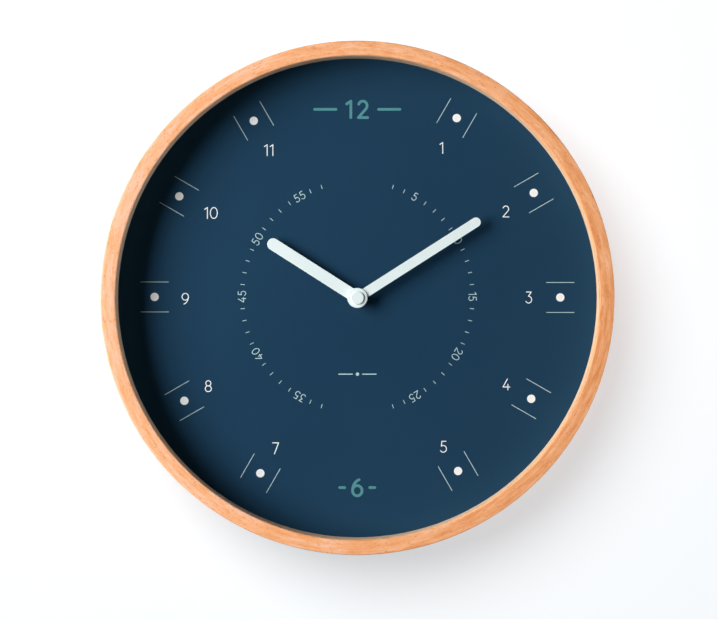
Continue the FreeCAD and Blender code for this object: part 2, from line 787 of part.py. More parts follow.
def make_cover():
    """Back cover over the gears, with its skirt and the blind holes of the rear pivots."""
    body = new_body("movement_cover")
    plan = Drawing(body, "Plan", "front", MOVEMENT_BACK)
    plan.rectangle(f"-{HALF_WIDTH}", HALF_WIDTH, f"-{BAY_TOP}", MOVEMENT_TOP)
    pad("Plate", plan, "cover_thickness")
    soften(body, "Corners", "Chamfer", "corner_chamfer",
           lambda edge: is_upright_corner(edge, HALF_WIDTH, [MOVEMENT_TOP]))
    skirt = Drawing(body, "SkirtPlan", "front", COVER_INSIDE)
    for inset in ("skirt_fit", "(skirt_fit + skirt_wall)"):
        side = f"({INNER_WIDTH} - {inset})"
        skirt.rectangle(f"-{side}", side, f"-(mechanism_drop - {inset})", f"mechanism_rise - {inset}")
    pad("Skirt", skirt, "skirt_height")
    blind = f"({COVER_INSIDE} - pivot_length - arbor_shake)"
    pivot_holes(body, "minute_foot_radius", [CENTRE], blind, COVER_INSIDE)
    pivot_holes(body, "arbor_radius", [THIRD_ARBOR, STEP_ARBOR, ROTOR_ARBOR], blind, COVER_INSIDE)
    pivot_holes(body, "setting_arbor_radius", [SETTING_ARBOR], MOVEMENT_BACK, COVER_INSIDE)
    return body


def make_gear_plate():
    """Bridge plate between the going train behind it and the motion work in front of it."""
    body = new_body("gear_plate")
    half = f"({INNER_WIDTH} - plate_inset)"
    plan = Drawing(body, "Plan", "front", PLATE_BACK)
    plan.rectangle(f"-{half}", half, "-plate_drop", "plate_rise")
    pad("Plate", plan, "plate_thickness")
    holes = Drawing(body, "PegHoles", "front", PLATE_FRONT)
    for place in PEG_PLACES:
        holes.square("(post_peg + peg_fit)", place)
    pocket("PegHolesCut", holes, "plate_thickness")
    drill(body, "MinuteHole", "minute_arbor_radius + running_gap", [CENTRE], PLATE_BACK, PLATE_FRONT)
    pivot_holes(body, "arbor_radius", [THIRD_ARBOR, STEP_ARBOR, ROTOR_ARBOR], PLATE_BACK, PLATE_FRONT)
    pivot_holes(body, "setting_arbor_radius", [SETTING_ARBOR], PLATE_BACK, PLATE_FRONT)
    collars = Drawing(body, "CollarPlan", "front", STATOR_FRONT)
    pegs = Drawing(body, "PegPlan", "front", f"{STATOR_BACK} - peg_fit")
    for place in STATOR_PEG_PLACES:
        collars.square("stator_collar", place)
        pegs.square("stator_peg", place)
    pad("StatorCollars", collars, "stator_gap")
    pad("StatorPegs", pegs, "stator_gap + lamination + peg_fit")
    return body


# Battery, contacts and electronics.


def make_battery():
    """Single cylindrical cell that lies along the bay, its nub to the right."""
    body = new_body("battery")
    nub_face = "(battery_can / 2 + battery_nub / 2)"
    can_face = f"({nub_face} - battery_nub)"
    axis = (BATTERY_DEPTH, f"-{BATTERY_DROP}")
    can = Drawing(body, "CanPlan", "side", can_face).circle("battery_radius", axis)
    pad("Can", can, "battery_can")
    nub = Drawing(body, "NubPlan", "side", nub_face).circle("nub_radius", axis)
    pad("Nub", nub, "battery_nub")
    return body


CONTACT_LOW = f"-({BATTERY_DROP} + contact_height / 2)"
CONTACT_HIGH = f"-({BATTERY_DROP} - contact_height / 2)"
STRIP_BACK = f"({CIRCUIT_FRONT} - strip_width)"


def make_contact(label, side):
    """Sheet-metal contact on one end wall, with a strip that rises to the circuit board."""
    body = new_body(label)
    half = "contact_width / 2"
    wall = f"{side}{INNER_WIDTH}"
    blade = Drawing(body, "Blade", "side", wall).outline([
        (f"{BATTERY_DEPTH} - {half}", CONTACT_LOW),
        (CIRCUIT_FRONT, CONTACT_LOW),
        (CIRCUIT_FRONT, "circuit_high"),
        (STRIP_BACK, "circuit_high"),
        (STRIP_BACK, CONTACT_HIGH),
        (f"{BATTERY_DEPTH} - {half}", CONTACT_HIGH),
    ])
    pad("Sheet", blade, "contact_sheet", reverse=bool(side))
    return body


def make_contact_positive():
    """Contact with a dimple against the battery's nub."""
    body = make_contact("contact_positive", "")
    axis = (BATTERY_DEPTH, f"-{BATTERY_DROP}")
    face = f"({INNER_WIDTH} - contact_sheet)"
    dimple = Drawing(body, "DimplePlan", "side", face).square("contact_dimple", axis)
    pad("Dimple", dimple, "contact_room - contact_sheet")
    return body


def make_contact_negative():
    """Contact with a bent tongue against the flat end of the battery."""
    body = make_contact("contact_negative", "-")
    wall = f"-({INNER_WIDTH} - contact_sheet)"
    crest = f"-({INNER_WIDTH} - contact_room)"
    low = f"-({BATTERY_DROP} + contact_height / 2 - contact_room)"
    high = f"-({BATTERY_DROP} - contact_height / 2 + contact_room)"
    tongue = Drawing(body, "Tongue", "front", f"{BATTERY_DEPTH} - tongue_width / 2").outline([
        (wall, low),
        (crest, f"-({BATTERY_DROP} + contact_room)"),
        (crest, f"-({BATTERY_DROP} - contact_room)"),
        (wall, high),
    ])
    pad("TongueBend", tongue, "tongue_width")
    return body


def make_circuit_board():
    """Narrow circuit board across the top of the movement."""
    body = new_body("circuit_board")
    half = f"({INNER_WIDTH} - contact_sheet - peg_fit)"
    plan = Drawing(body, "Plan", "front", CIRCUIT_BACK)
    plan.rectangle(f"-{half}", half, "circuit_low", "circuit_high")
    pad("Board", plan, "circuit_thickness")
    return body


def make_chip():
    """Potted driver chip on the back of the board."""
    body = new_body("driver_chip")
    plan = Drawing(body, "Plan", "front", f"{CIRCUIT_BACK} - chip_height")
    plan.square("chip_width / 2", ("chip_place", CIRCUIT_MIDDLE))
    pad("Block", plan, "chip_height")
    return body


def make_crystal():
    """Small tubular crystal can that lies on the back of the board."""
    body = new_body("quartz_crystal")
    place = (f"{CIRCUIT_BACK} - crystal_radius", CIRCUIT_MIDDLE)
    can = Drawing(body, "CanPlan", "side", "crystal_place + crystal_length").circle("crystal_radius", place)
    pad("Can", can, "crystal_length")
    return body


# Stepping motor: coil, laminated core and stator, and the magnet that turns in the stator.


COIL_AXIS = (CORE_DEPTH, "coil_height")
CORE_LEFT = f"({ROTOR_ARBOR[0]} - core_reach)"
CORE_RIGHT = f"({CORE_LEFT} + core_length)"
BOBBIN_LENGTH = "(core_length - 2 * (stator_leg + bobbin_gap))"
BOBBIN_RIGHT = f"({CORE_RIGHT} - stator_leg - bobbin_gap)"
BAR_HEIGHT = f"({ROTOR_ARBOR[1]})"
STATOR_PEG_PLACES = [
    (f"{CORE_LEFT} + stator_leg / 2", BAR_HEIGHT),
    (f"{CORE_RIGHT} - stator_leg / 2", BAR_HEIGHT),
]


def barrel_outline(drawing):
    """Draw the outside of the bobbin's barrel, one wall outside the core."""
    return drawing.rectangle(
        f"{CORE_BACK} - bobbin_wall", f"{STATOR_BACK} + bobbin_wall",
        "coil_height - core_width / 2 - bobbin_wall", "coil_height + core_width / 2 + bobbin_wall",
    )


def make_bobbin():
    """Bobbin with a flat barrel, two square flanges and a slot for the core."""
    body = new_body("coil_bobbin")
    barrel = barrel_outline(Drawing(body, "BarrelPlan", "side", BOBBIN_RIGHT))
    pad("Barrel", barrel, BOBBIN_LENGTH)
    for name, place in (
        ("RightFlange", BOBBIN_RIGHT),
        ("LeftFlange", f"{BOBBIN_RIGHT} - {BOBBIN_LENGTH} + bobbin_flange_width"),
    ):
        flange = Drawing(body, f"{name}Plan", "side", place)
        flange.square("bobbin_flange_half_width", COIL_AXIS)
        pad(name, flange, "bobbin_flange_width")
    slot = Drawing(body, "CoreSlot", "side", BOBBIN_RIGHT)
    slot.rectangle(CORE_BACK, STATOR_BACK, "coil_height - core_width / 2", "coil_height + core_width / 2")
    pocket("CoreSlotCut", slot, f"{BOBBIN_LENGTH} * 2", midplane=True)
    return body


def make_winding():
    """Copper winding between the flanges, round the barrel."""
    body = new_body("coil_winding")
    plan = Drawing(body, "Plan", "side", f"{BOBBIN_RIGHT} - bobbin_flange_width")
    plan.polygon(8, "coil_radius", COIL_AXIS, "180 / 8")
    barrel_outline(plan)
    pad("Turns", plan, f"{BOBBIN_LENGTH} - 2 * bobbin_flange_width")
    return body


def make_core():
    """Flat iron core through the bobbin, lying on the stator's two legs."""
    body = new_body("coil_core")
    plan = Drawing(body, "Plan", "front", CORE_BACK)
    plan.rectangle(CORE_LEFT, CORE_RIGHT, "coil_height - core_width / 2", "coil_height + core_width / 2")
    pad("Bar", plan, "lamination")
    return body


def make_stator():
    """Stamped stator: a bar with two legs, wider round the rotor's hole and its two notches."""
    body = new_body("stator")
    low = f"({BAR_HEIGHT} - stator_bar / 2)"
    high = f"({BAR_HEIGHT} + stator_bar / 2)"
    ring_right = f"{ROTOR_ARBOR[0]} + stator_ring"
    ring_low = f"{BAR_HEIGHT} - stator_ring"
    ring_high = f"{BAR_HEIGHT} + stator_ring"
    top = "coil_height + core_width / 2"
    plan = Drawing(body, "Plan", "front", STATOR_BACK).outline([
        (CORE_LEFT, ring_low),
        (ring_right, ring_low),
        (f"{ring_right} + stator_bar / 2", low),
        (CORE_RIGHT, low),
        (CORE_RIGHT, top),
        (f"{CORE_RIGHT} - stator_leg", top),
        (f"{CORE_RIGHT} - stator_leg", high),
        (f"{ring_right} + stator_bar / 2", high),
        (ring_right, ring_high),
        (f"{CORE_LEFT} + stator_leg", ring_high),
        (f"{CORE_LEFT} + stator_leg", top),
        (CORE_LEFT, top),
    ])
    pad("Plate", plan, "lamination")
    drill(body, "RotorHole", "stator_bore", [ROTOR_ARBOR], STATOR_BACK, STATOR_FRONT)
    reach = "stator_bore * cos(45 deg)"
    notches = Drawing(body, "Notches", "front", STATOR_FRONT)
    for side in "+-":
        notches.square(
            "stator_notch", (f"{ROTOR_ARBOR[0]} {side} {reach}", f"{ROTOR_ARBOR[1]} {side} {reach}"))
    pocket("NotchesCut", notches, "lamination")
    holes = Drawing(body, "PegHoles", "front", STATOR_FRONT)
    for place in STATOR_PEG_PLACES:
        holes.square("(stator_peg + peg_fit)", place)
    pocket("PegHolesCut", holes, "lamination")
    return body


# Going train, from the rotor to the centre wheel.

ARBOR_BACK = f"({COVER_INSIDE} - pivot_length)"
ROTOR_SEAT = f"({STEP_LEVEL} + wheel_thickness + pinion_overlap)"
MAGNET_FRONT = f"({ROTOR_SEAT} + magnet_length)"


def pinion_back(level):
    """Give the depth behind the wheel at a level from which its pinion starts."""
    return f"({level} - pinion_overlap)"


def pinion_front(level):
    """Give the depth in front of the wheel at a level to which its pinion reaches."""
    return f"({level} + wheel_thickness + pinion_overlap)"


def wheel_front(level):
    """Give the front of the wheel at a level."""
    return f"({level} + wheel_thickness)"


def make_rotor_pinion():
    """Rotor arbor with the driving pinion, which the magnet sits against."""
    body = new_body("rotor_pinion", ROTOR_ARBOR)
    arbor(body, ARBOR_BACK, PLATE_FRONT)
    gear(body, "Pinion", "rotor_teeth", ROTOR_MODULE, "pinion_addendum_share", pinion_back(STEP_LEVEL),
         ROTOR_SEAT, "rotor_angle + 180 + 180 / rotor_teeth", pinion=True)
    return body


def make_rotor_magnet():
    """Ring magnet on the rotor arbor."""
    body = new_body("rotor_magnet", ROTOR_ARBOR)
    plan = Drawing(body, "Plan", "front", ROTOR_SEAT).circle("magnet_radius")
    pad("Disc", plan, "magnet_length")
    prism(body, "Bore", "arbor_sides", "arbor_radius", ROTOR_SEAT, MAGNET_FRONT, kind="Subtractive")
    return body


def make_step_wheel():
    """Wheel driven by the rotor, with the pinion behind it that drives the third wheel."""
    body = new_body("step_wheel", STEP_ARBOR)
    arbor(body, ARBOR_BACK, PLATE_FRONT)
    gear(body, "Wheel", "step_wheel_teeth", ROTOR_MODULE, "wheel_addendum_share", STEP_LEVEL,
         wheel_front(STEP_LEVEL), "rotor_angle")
    gear(body, "Pinion", "step_pinion_teeth", STEP_MODULE, "pinion_addendum_share",
         pinion_back(THIRD_LEVEL), STEP_LEVEL, "step_angle + 180 + 180 / step_pinion_teeth", pinion=True)
    return body


def make_third_wheel():
    """Wheel with the long pinion in front of it that drives the centre wheel."""
    body = new_body("third_wheel", THIRD_ARBOR)
    arbor(body, ARBOR_BACK, PLATE_FRONT)
    gear(body, "Wheel", "third_wheel_teeth", STEP_MODULE, "wheel_addendum_share", THIRD_LEVEL,
         wheel_front(THIRD_LEVEL), "step_angle")
    gear(body, "Pinion", "third_pinion_teeth", THIRD_MODULE, "pinion_addendum_share",
         wheel_front(THIRD_LEVEL), pinion_front(CENTRE_LEVEL),
         "third_angle + 180 + 180 / third_pinion_teeth", pinion=True)
    return body


def make_centre_wheel():
    """Wheel that turns once an hour and slips on the minute arbor when the hands are set."""
    body = new_body("centre_wheel")
    front = wheel_front(CENTRE_LEVEL)
    ring(body, "Hub", "clutch_hub_radius", "minute_arbor_radius + running_gap", front,
         f"({PLATE_BACK} - arbor_shake)")
    gear(body, "Wheel", "centre_wheel_teeth", THIRD_MODULE, "wheel_addendum_share", CENTRE_LEVEL, front,
         "third_angle")
    drill(body, "Bore", "minute_arbor_radius + running_gap", [CENTRE], CENTRE_LEVEL, front)
    return body


# Motion work, which turns the hour hand once for twelve turns of the minute hand.


def make_minute_arbor():
    """Minute arbor: foot in the cover, clutch seat, cannon pinion and the shaft through the dial."""
    body = new_body("minute_arbor")
    seat = f"({CENTRE_LEVEL} - running_gap)"
    arbor(body, ARBOR_BACK, seat, "minute_foot_radius")
    spindle(body, "Shaft", [seat, MINUTE_ARBOR_FRONT], ["minute_arbor_radius"])
    gear(body, "Cannon", "cannon_teeth", CANNON_MODULE, "pinion_addendum_share",
         f"({MINUTE_LEVEL} - cannon_overlap)", f"({wheel_front(MINUTE_LEVEL)} + cannon_overlap)",
         "setting_angle + 180 / cannon_teeth", pinion=True)
    return body


def make_minute_wheel():
    """Minute wheel and pinion on the arbor that runs back to the setting knob."""
    body = new_body("minute_wheel", SETTING_ARBOR)
    arbor(body, KNOB_BACK, f"({BASE_INSIDE} + pivot_length)", "setting_arbor_radius")
    front = wheel_front(MINUTE_LEVEL)
    gear(body, "Wheel", "minute_wheel_teeth", CANNON_MODULE, "wheel_addendum_share", MINUTE_LEVEL, front,
         "setting_angle + 180")
    gear(body, "Pinion", "minute_pinion_teeth", MOTION_MODULE, "pinion_addendum_share", front,
         pinion_front(HOUR_LEVEL), "setting_angle + 180 + 180 / minute_pinion_teeth", pinion=True)
    return body


def make_hour_wheel():
    """Hour wheel with the pipe that carries the hour hand through the bush."""
    body = new_body("hour_wheel")
    front = wheel_front(HOUR_LEVEL)
    ring(body, "Pipe", "hour_pipe_radius", "minute_arbor_radius + running_gap", front, HOUR_PIPE_FRONT)
    gear(body, "Wheel", "hour_wheel_teeth", MOTION_MODULE, "wheel_addendum_share", HOUR_LEVEL, front,
         "setting_angle")
    drill(body, "Bore", "minute_arbor_radius + running_gap", [CENTRE], HOUR_LEVEL, front)
    return body


KNOB_FRONT = f"({MOVEMENT_BACK} - knob_shake)"
KNOB_BACK = f"({KNOB_FRONT} - knob_thickness)"


def make_knob():
    """Fluted knob pressed on the back end of the minute wheel's arbor."""
    body = new_body("setting_knob", SETTING_ARBOR)
    prism(body, "Disc", "knob_flutes", "knob_radius", KNOB_BACK, KNOB_FRONT)
    prism(body, "Bore", "arbor_sides", "setting_arbor_radius", KNOB_BACK, KNOB_FRONT, kind="Subtractive")
    flute = Drawing(body, "Flute", "front", KNOB_FRONT).outline([
        ("knob_radius - knob_flute", "0"),
        ("knob_radius + knob_flute", "-2 * knob_flute"),
        ("knob_radius + knob_flute", "2 * knob_flute"),
    ])
    cut = pocket("FluteCut", flute, "knob_thickness")
    polar_pattern("Flutes", cut, "knob_flutes")
    return body


# Hands, the collets that they are riveted to, and the cap.


def turn_body(body, angle):
    """Turn a body about the clock's axis, clockwise as the dial is read."""
    body.Placement.Rotation = FreeCAD.Rotation(Vector(0, 1, 0), value(angle))
    bind(body, ".Placement.Rotation.Angle", f"{angle} * 1 deg")


def make_hand(label, length, width, hole, back, angle):
    """Stamped hand with round ends and the hole of its shaft."""
    body = new_body(label)
    half = f"({width} / 2)"
    blade = Drawing(body, "Blade", "front", back).slot(half, f"0 * {half}", f"{length} - {half}")
    blade.circle(hole)
    pad("Bar", blade, "hand_thickness")
    turn_body(body, angle)
    return body


def make_collet(label, bore, back, front):
    """Brass collet on the shaft, riveted to the back of its hand."""
    body = new_body(label)
    ring(body, "Sleeve", f"({bore} + collet_wall)", bore, back, front)
    return body


def make_cap():
    """Round cap pushed over the end of the minute arbor."""
    body = new_body("hand_cap")
    turned(body, "Cap", [
        ("minute_arbor_radius", CAP_BACK),
        ("cap_radius", CAP_BACK),
        ("cap_radius", CAP_SHOULDER),
        ("cap_top_radius", CAP_SHOULDER),
        ("cap_top_radius", f"{CAP_SHOULDER} + cap_top"),
        ("0", f"{CAP_SHOULDER} + cap_top"),
        ("0", MINUTE_ARBOR_FRONT),
        ("minute_arbor_radius", MINUTE_ARBOR_FRONT),
    ])
    return body


def build_parts():
    """Build every sub-part and return them in the order in which they come apart."""
    return [
        make_rim(),
        make_glass(),
        make_hoop(),
        make_board(),
        make_points(),
        make_hanger(),
        make_rubber_pad(),
        make_brass_washer(),
        make_nut(),
        make_base(),
        make_cover(),
        make_gear_plate(),
        make_battery(),
        make_contact_positive(),
        make_contact_negative(),
        make_circuit_board(),
        make_chip(),
        make_crystal(),
        make_bobbin(),
        make_winding(),
        make_core(),
        make_stator(),
        make_rotor_pinion(),
        make_rotor_magnet(),
        make_step_wheel(),
        make_third_wheel(),
        make_centre_wheel(),
        make_minute_arbor(),
        make_minute_wheel(),
        make_hour_wheel(),
        make_knob(),
        make_hand("hour_hand", "hour_hand_length", "hour_hand_width", "hour_pipe_radius",
                  HOUR_HAND_BACK, "hour_hand_angle"),
        make_collet("hour_collet", "hour_pipe_radius", HOUR_COLLET_BACK, HOUR_HAND_BACK),
        make_hand("minute_hand", "minute_hand_length", "minute_hand_width", "minute_arbor_radius",
                  MINUTE_HAND_BACK, "minute_hand_angle"),
        make_collet("minute_collet", "minute_arbor_radius", MINUTE_COLLET_BACK, MINUTE_HAND_BACK),
        make_cap(),
    ]


def check(parts):
    """Stop at any failed object of the document and at any sub-part without a valid solid."""
    for item in document.Objects:
        if "Invalid" in item.State or "Error" in item.State:
            raise ValueError(f"{item.Label} failed: {item.State}")
    for part in parts:
        if part.Shape.isNull() or not part.Shape.isValid() or not part.Shape.Solids:
            raise ValueError(f"{part.Label} has no valid solid")


def main():
    """Build the clock, check it and write one STEP file for each sub-part."""
    fill_sheet()
    parts = build_parts()
    document.recompute()
    check(parts)
    os.makedirs("parts", exist_ok=True)
    for part in parts:
        part.Shape.exportStep(f"parts/{part.Label}.step")
        print(part.Label, len(part.Shape.Solids), round(part.Shape.Volume, 3))


main()
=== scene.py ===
"""Round wall clock with a bent wood rim, a dark dial, two hands and a quartz movement."""

import json
import logging
import math
from dataclasses import dataclass
from enum import Enum
from typing import Any, Iterable, Sequence

import bmesh
import bpy
import numpy as np
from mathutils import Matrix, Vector


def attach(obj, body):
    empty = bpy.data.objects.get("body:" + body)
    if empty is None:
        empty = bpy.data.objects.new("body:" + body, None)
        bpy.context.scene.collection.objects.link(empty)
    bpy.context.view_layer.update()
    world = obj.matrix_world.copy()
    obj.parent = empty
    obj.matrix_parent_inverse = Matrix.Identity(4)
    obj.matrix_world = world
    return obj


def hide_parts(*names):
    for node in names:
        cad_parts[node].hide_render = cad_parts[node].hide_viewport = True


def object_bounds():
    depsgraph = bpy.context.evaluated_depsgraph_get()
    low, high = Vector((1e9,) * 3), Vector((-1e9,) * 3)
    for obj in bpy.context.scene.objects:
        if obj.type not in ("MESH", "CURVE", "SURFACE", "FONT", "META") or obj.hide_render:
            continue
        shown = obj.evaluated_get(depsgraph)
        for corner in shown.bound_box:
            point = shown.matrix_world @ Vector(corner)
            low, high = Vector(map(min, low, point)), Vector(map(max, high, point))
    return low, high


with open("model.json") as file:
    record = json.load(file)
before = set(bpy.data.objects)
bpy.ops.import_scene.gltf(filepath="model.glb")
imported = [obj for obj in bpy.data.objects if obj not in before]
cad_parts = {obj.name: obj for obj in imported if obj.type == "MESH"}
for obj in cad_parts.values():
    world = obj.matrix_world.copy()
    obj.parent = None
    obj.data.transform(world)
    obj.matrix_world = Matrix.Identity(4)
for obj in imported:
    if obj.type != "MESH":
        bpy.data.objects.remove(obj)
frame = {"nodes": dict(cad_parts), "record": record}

CAD_LOW, CAD_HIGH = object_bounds()
LOG = logging.getLogger("wall_clock")
MM = 0.001
TURN = 2.0 * math.pi
WHITE = (1.0, 1.0, 1.0)
Socket = bpy.types.NodeSocket
Material = bpy.types.Material
Mesh = bpy.types.Mesh
Piece = bpy.types.Object
Colour = tuple[float, float, float]
Stretch = tuple[float, float, float]
# Scale of some noise, its number of finer layers and, where it isn't the usual one, their share.
Noise = tuple[float, ...]
# Waves for a radian of the ring and for a metre across it, number of finer layers and their share.
Layer = tuple[float, float, float, float]
# Values between which one colour takes over from another, and its least and its greatest share.
Cover = tuple[float, float, float, float]


class Body(Enum):
    """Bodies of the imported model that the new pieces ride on."""

    CASE = "case"
    MINUTE = "minute_group"
    HOUR = "hour_group"
    SETTING = "setting_group"


class Slot(Enum):
    """Material slots of the record."""

    BENT_WOOD = "bent_wood"
    CLEAR_GLASS = "clear_glass"
    PRINTED_DIAL = "printed_dial"
    ZINC_STEEL = "zinc_steel"
    BLACK_RUBBER = "black_rubber"
    TURNED_BRASS = "turned_brass"
    BLACK_PLASTIC = "black_plastic"
    WHITE_PLASTIC = "white_plastic"
    BATTERY_SLEEVE = "battery_sleeve"
    BOARD_LAMINATE = "board_laminate"
    BLACK_RESIN = "black_resin"
    COPPER_WIRE = "copper_wire"
    SOFT_IRON = "soft_iron"
    FERRITE = "ferrite"
    HAND_ENAMEL = "hand_enamel"


# Node graphs

NOISE_REACH = (0.3, 0.7)


def rgb(red: int, green: int, blue: int) -> Colour:
    """Turn a colour from screen values of 0 to 255 into linear light.

    Args:
        red, green, blue: The screen values.

    Returns:
        Three linear shares from 0 to 1.
    """
    shares = (channel / 255.0 for channel in (red, green, blue))
    return tuple(c / 12.92 if c <= 0.04045 else ((c + 0.055) / 1.055) ** 2.4 for c in shares)


class Graph:
    """The node tree of one material or world, filled by short calls."""

    def __init__(self, owner: Material | bpy.types.World) -> None:
        """Start with an empty tree.

        Args:
            owner: The material or world that the tree belongs to.
        """
        owner.use_nodes = True
        self.tree = owner.node_tree
        self.tree.nodes.clear()

    def node(self, kind: str, inputs: dict[Any, Any] | None = None, **settings: Any) -> bpy.types.Node:
        """Add a node.

        Args:
            kind: The node's type in Blender, without ShaderNode.
            inputs: A value or an output socket for each input, by its name or number.
            settings: Properties of the node itself.

        Returns:
            The new node.
        """
        made = self.tree.nodes.new(f"ShaderNode{kind}")
        for key, setting in settings.items():
            setattr(made, key, setting)
        for key, value in (inputs or {}).items():
            socket = made.inputs[key]
            if isinstance(value, Socket):
                self.tree.links.new(value, socket)
            else:
                socket.default_value = (*value, 1.0) if socket.type == "RGBA" else value
        return made

    def place(self) -> Socket:
        """Give the point of the piece in the clock's own frame, in metres."""
        return self.node("TexCoord").outputs["Object"]

    def axes(self, vector: Socket) -> tuple[Socket, Socket, Socket]:
        """Split a vector into its three parts."""
        return tuple(self.node("SeparateXYZ", {0: vector}).outputs)

    def math(self, operation: str, *numbers: Any, clamp: bool = False) -> Socket:
        """Work out one number from one, two or three others."""
        inputs = dict(enumerate(numbers))
        return self.node("Math", inputs, operation=operation, use_clamp=clamp).outputs[0]

    def plus(self, first: Any, second: Any) -> Socket:
        """Add two numbers."""
        return self.math("ADD", first, second)

    def minus(self, first: Any, second: Any) -> Socket:
        """Take the second number from the first."""
        return self.math("SUBTRACT", first, second)

    def times(self, first: Any, second: Any) -> Socket:
        """Multiply two numbers."""
        return self.math("MULTIPLY", first, second)

    def scaled(self, vector: Socket, scale: tuple[float, float, float]) -> Socket:
        """Stretch a vector along its axes."""
        return self.node("Mapping", {"Vector": vector, "Scale": scale}).outputs[0]

    def noise(self, vector: Socket, scale: float, detail: float = 3.0, roughness: float = 0.55,
              fourth: Socket | None = None) -> Socket:
        """Give smooth noise from 0 to 1, in three dimensions or, with a fourth coordinate, in four.

        Args:
            vector: The point.
            scale: Waves for each unit of the point.
            detail: Number of finer layers.
            roughness: Share of each finer layer.
            fourth: The fourth coordinate, if there is one.

        Returns:
            The noise as a number.
        """
        inputs = {"Vector": vector, "Scale": scale, "Detail": detail, "Roughness": roughness}
        dimensions = "3D"
        if fourth is not None:
            inputs["W"], dimensions = fourth, "4D"
        return self.node("TexNoise", inputs, noise_dimensions=dimensions).outputs["Fac"]

    def waves(self, vector: Socket, scale: float, distortion: float, direction: str) -> Socket:
        """Give straight waves from 0 to 1 along one axis."""
        inputs = {"Vector": vector, "Scale": scale, "Distortion": distortion}
        return self.node("TexWave", inputs, bands_direction=direction).outputs["Fac"]

    def ramp(self, number: Socket, stops: Sequence[tuple[float, Colour]]) -> Socket:
        """Turn a number into a colour.

        Args:
            number: The number, from 0 to 1.
            stops: Places on the ramp with their colours.

        Returns:
            The colour.
        """
        made = self.node("ValToRGB", {0: number})
        stages = made.color_ramp.elements
        while len(stages) < len(stops):
            stages.new(1.0)
        for stage, (place, colour) in zip(stages, stops):
            stage.position = place
            stage.color = (*colour, 1.0)
        return made.outputs[0]

    def range(self, number: Socket, low: float, high: float, start: float, end: float,
              smooth: bool = True) -> Socket:
        """Carry a number from one range to another and hold it at the ends.

        Args:
            number: The number.
            low, high: The range that it comes from.
            start, end: The range that it goes to.
            smooth: Whether it eases in and out.

        Returns:
            The new number.
        """
        inputs = {"Value": number, "From Min": low, "From Max": high, "To Min": start, "To Max": end}
        kind = "SMOOTHSTEP" if smooth else "LINEAR"
        return self.node("MapRange", inputs, interpolation_type=kind).outputs[0]

    def spread(self, noise: Socket, start: float, end: float) -> Socket:
        """Carry the usual values of noise to a range."""
        return self.range(noise, *NOISE_REACH, start, end)

    def mix(self, share: Any, first: Any, second: Any) -> Socket:
        """Mix two colours."""
        return self.node("Mix", {0: share, 6: first, 7: second}, data_type="RGBA").outputs[2]

    def bump(self, height: Socket, depth: float, strength: float = 1.0) -> Socket:
        """Give a normal that a height of 0 to 1 tilts.

        Args:
            height: The height, as a number.
            depth: How far a height of 1 stands up, in metres.
            strength: Share of the tilt that is used.

        Returns:
            The tilted normal.
        """
        inputs = {"Height": height, "Distance": depth, "Strength": strength}
        return self.node("Bump", inputs).outputs[0]

    def blend(self, share: Any, first: bpy.types.Node, second: bpy.types.Node) -> bpy.types.Node:
        """Mix two shaders."""
        return self.node("MixShader", {0: share, 1: first.outputs[0], 2: second.outputs[0]})

    def surface(self, shader: bpy.types.Node, output: str = "OutputMaterial") -> None:
        """End the graph in a shader."""
        self.node(output, {"Surface": shader.outputs[0]})

    def finish(self, **sockets: Any) -> None:
        """End the graph in the general surface shader.

        Args:
            sockets: Values of the shader's inputs, with _ for a space in the name.
        """
        inputs = {key.replace("_", " "): value for key, value in sockets.items()}
        self.surface(self.node("BsdfPrincipled", inputs))


# Finishes


@dataclass(frozen=True)
class Finish:
    """A finish of the clock, which paints itself as a material."""

    name: str

    def paint(self) -> Material:
        """Build the material.

        Returns:
            The material.
        """
        material = bpy.data.materials.new(self.name)
        self.draw(Graph(material))
        return material

    def draw(self, graph: Graph) -> None:
        """Fill the material's graph.

        Args:
            graph: The material's empty graph.
        """
        raise NotImplementedError


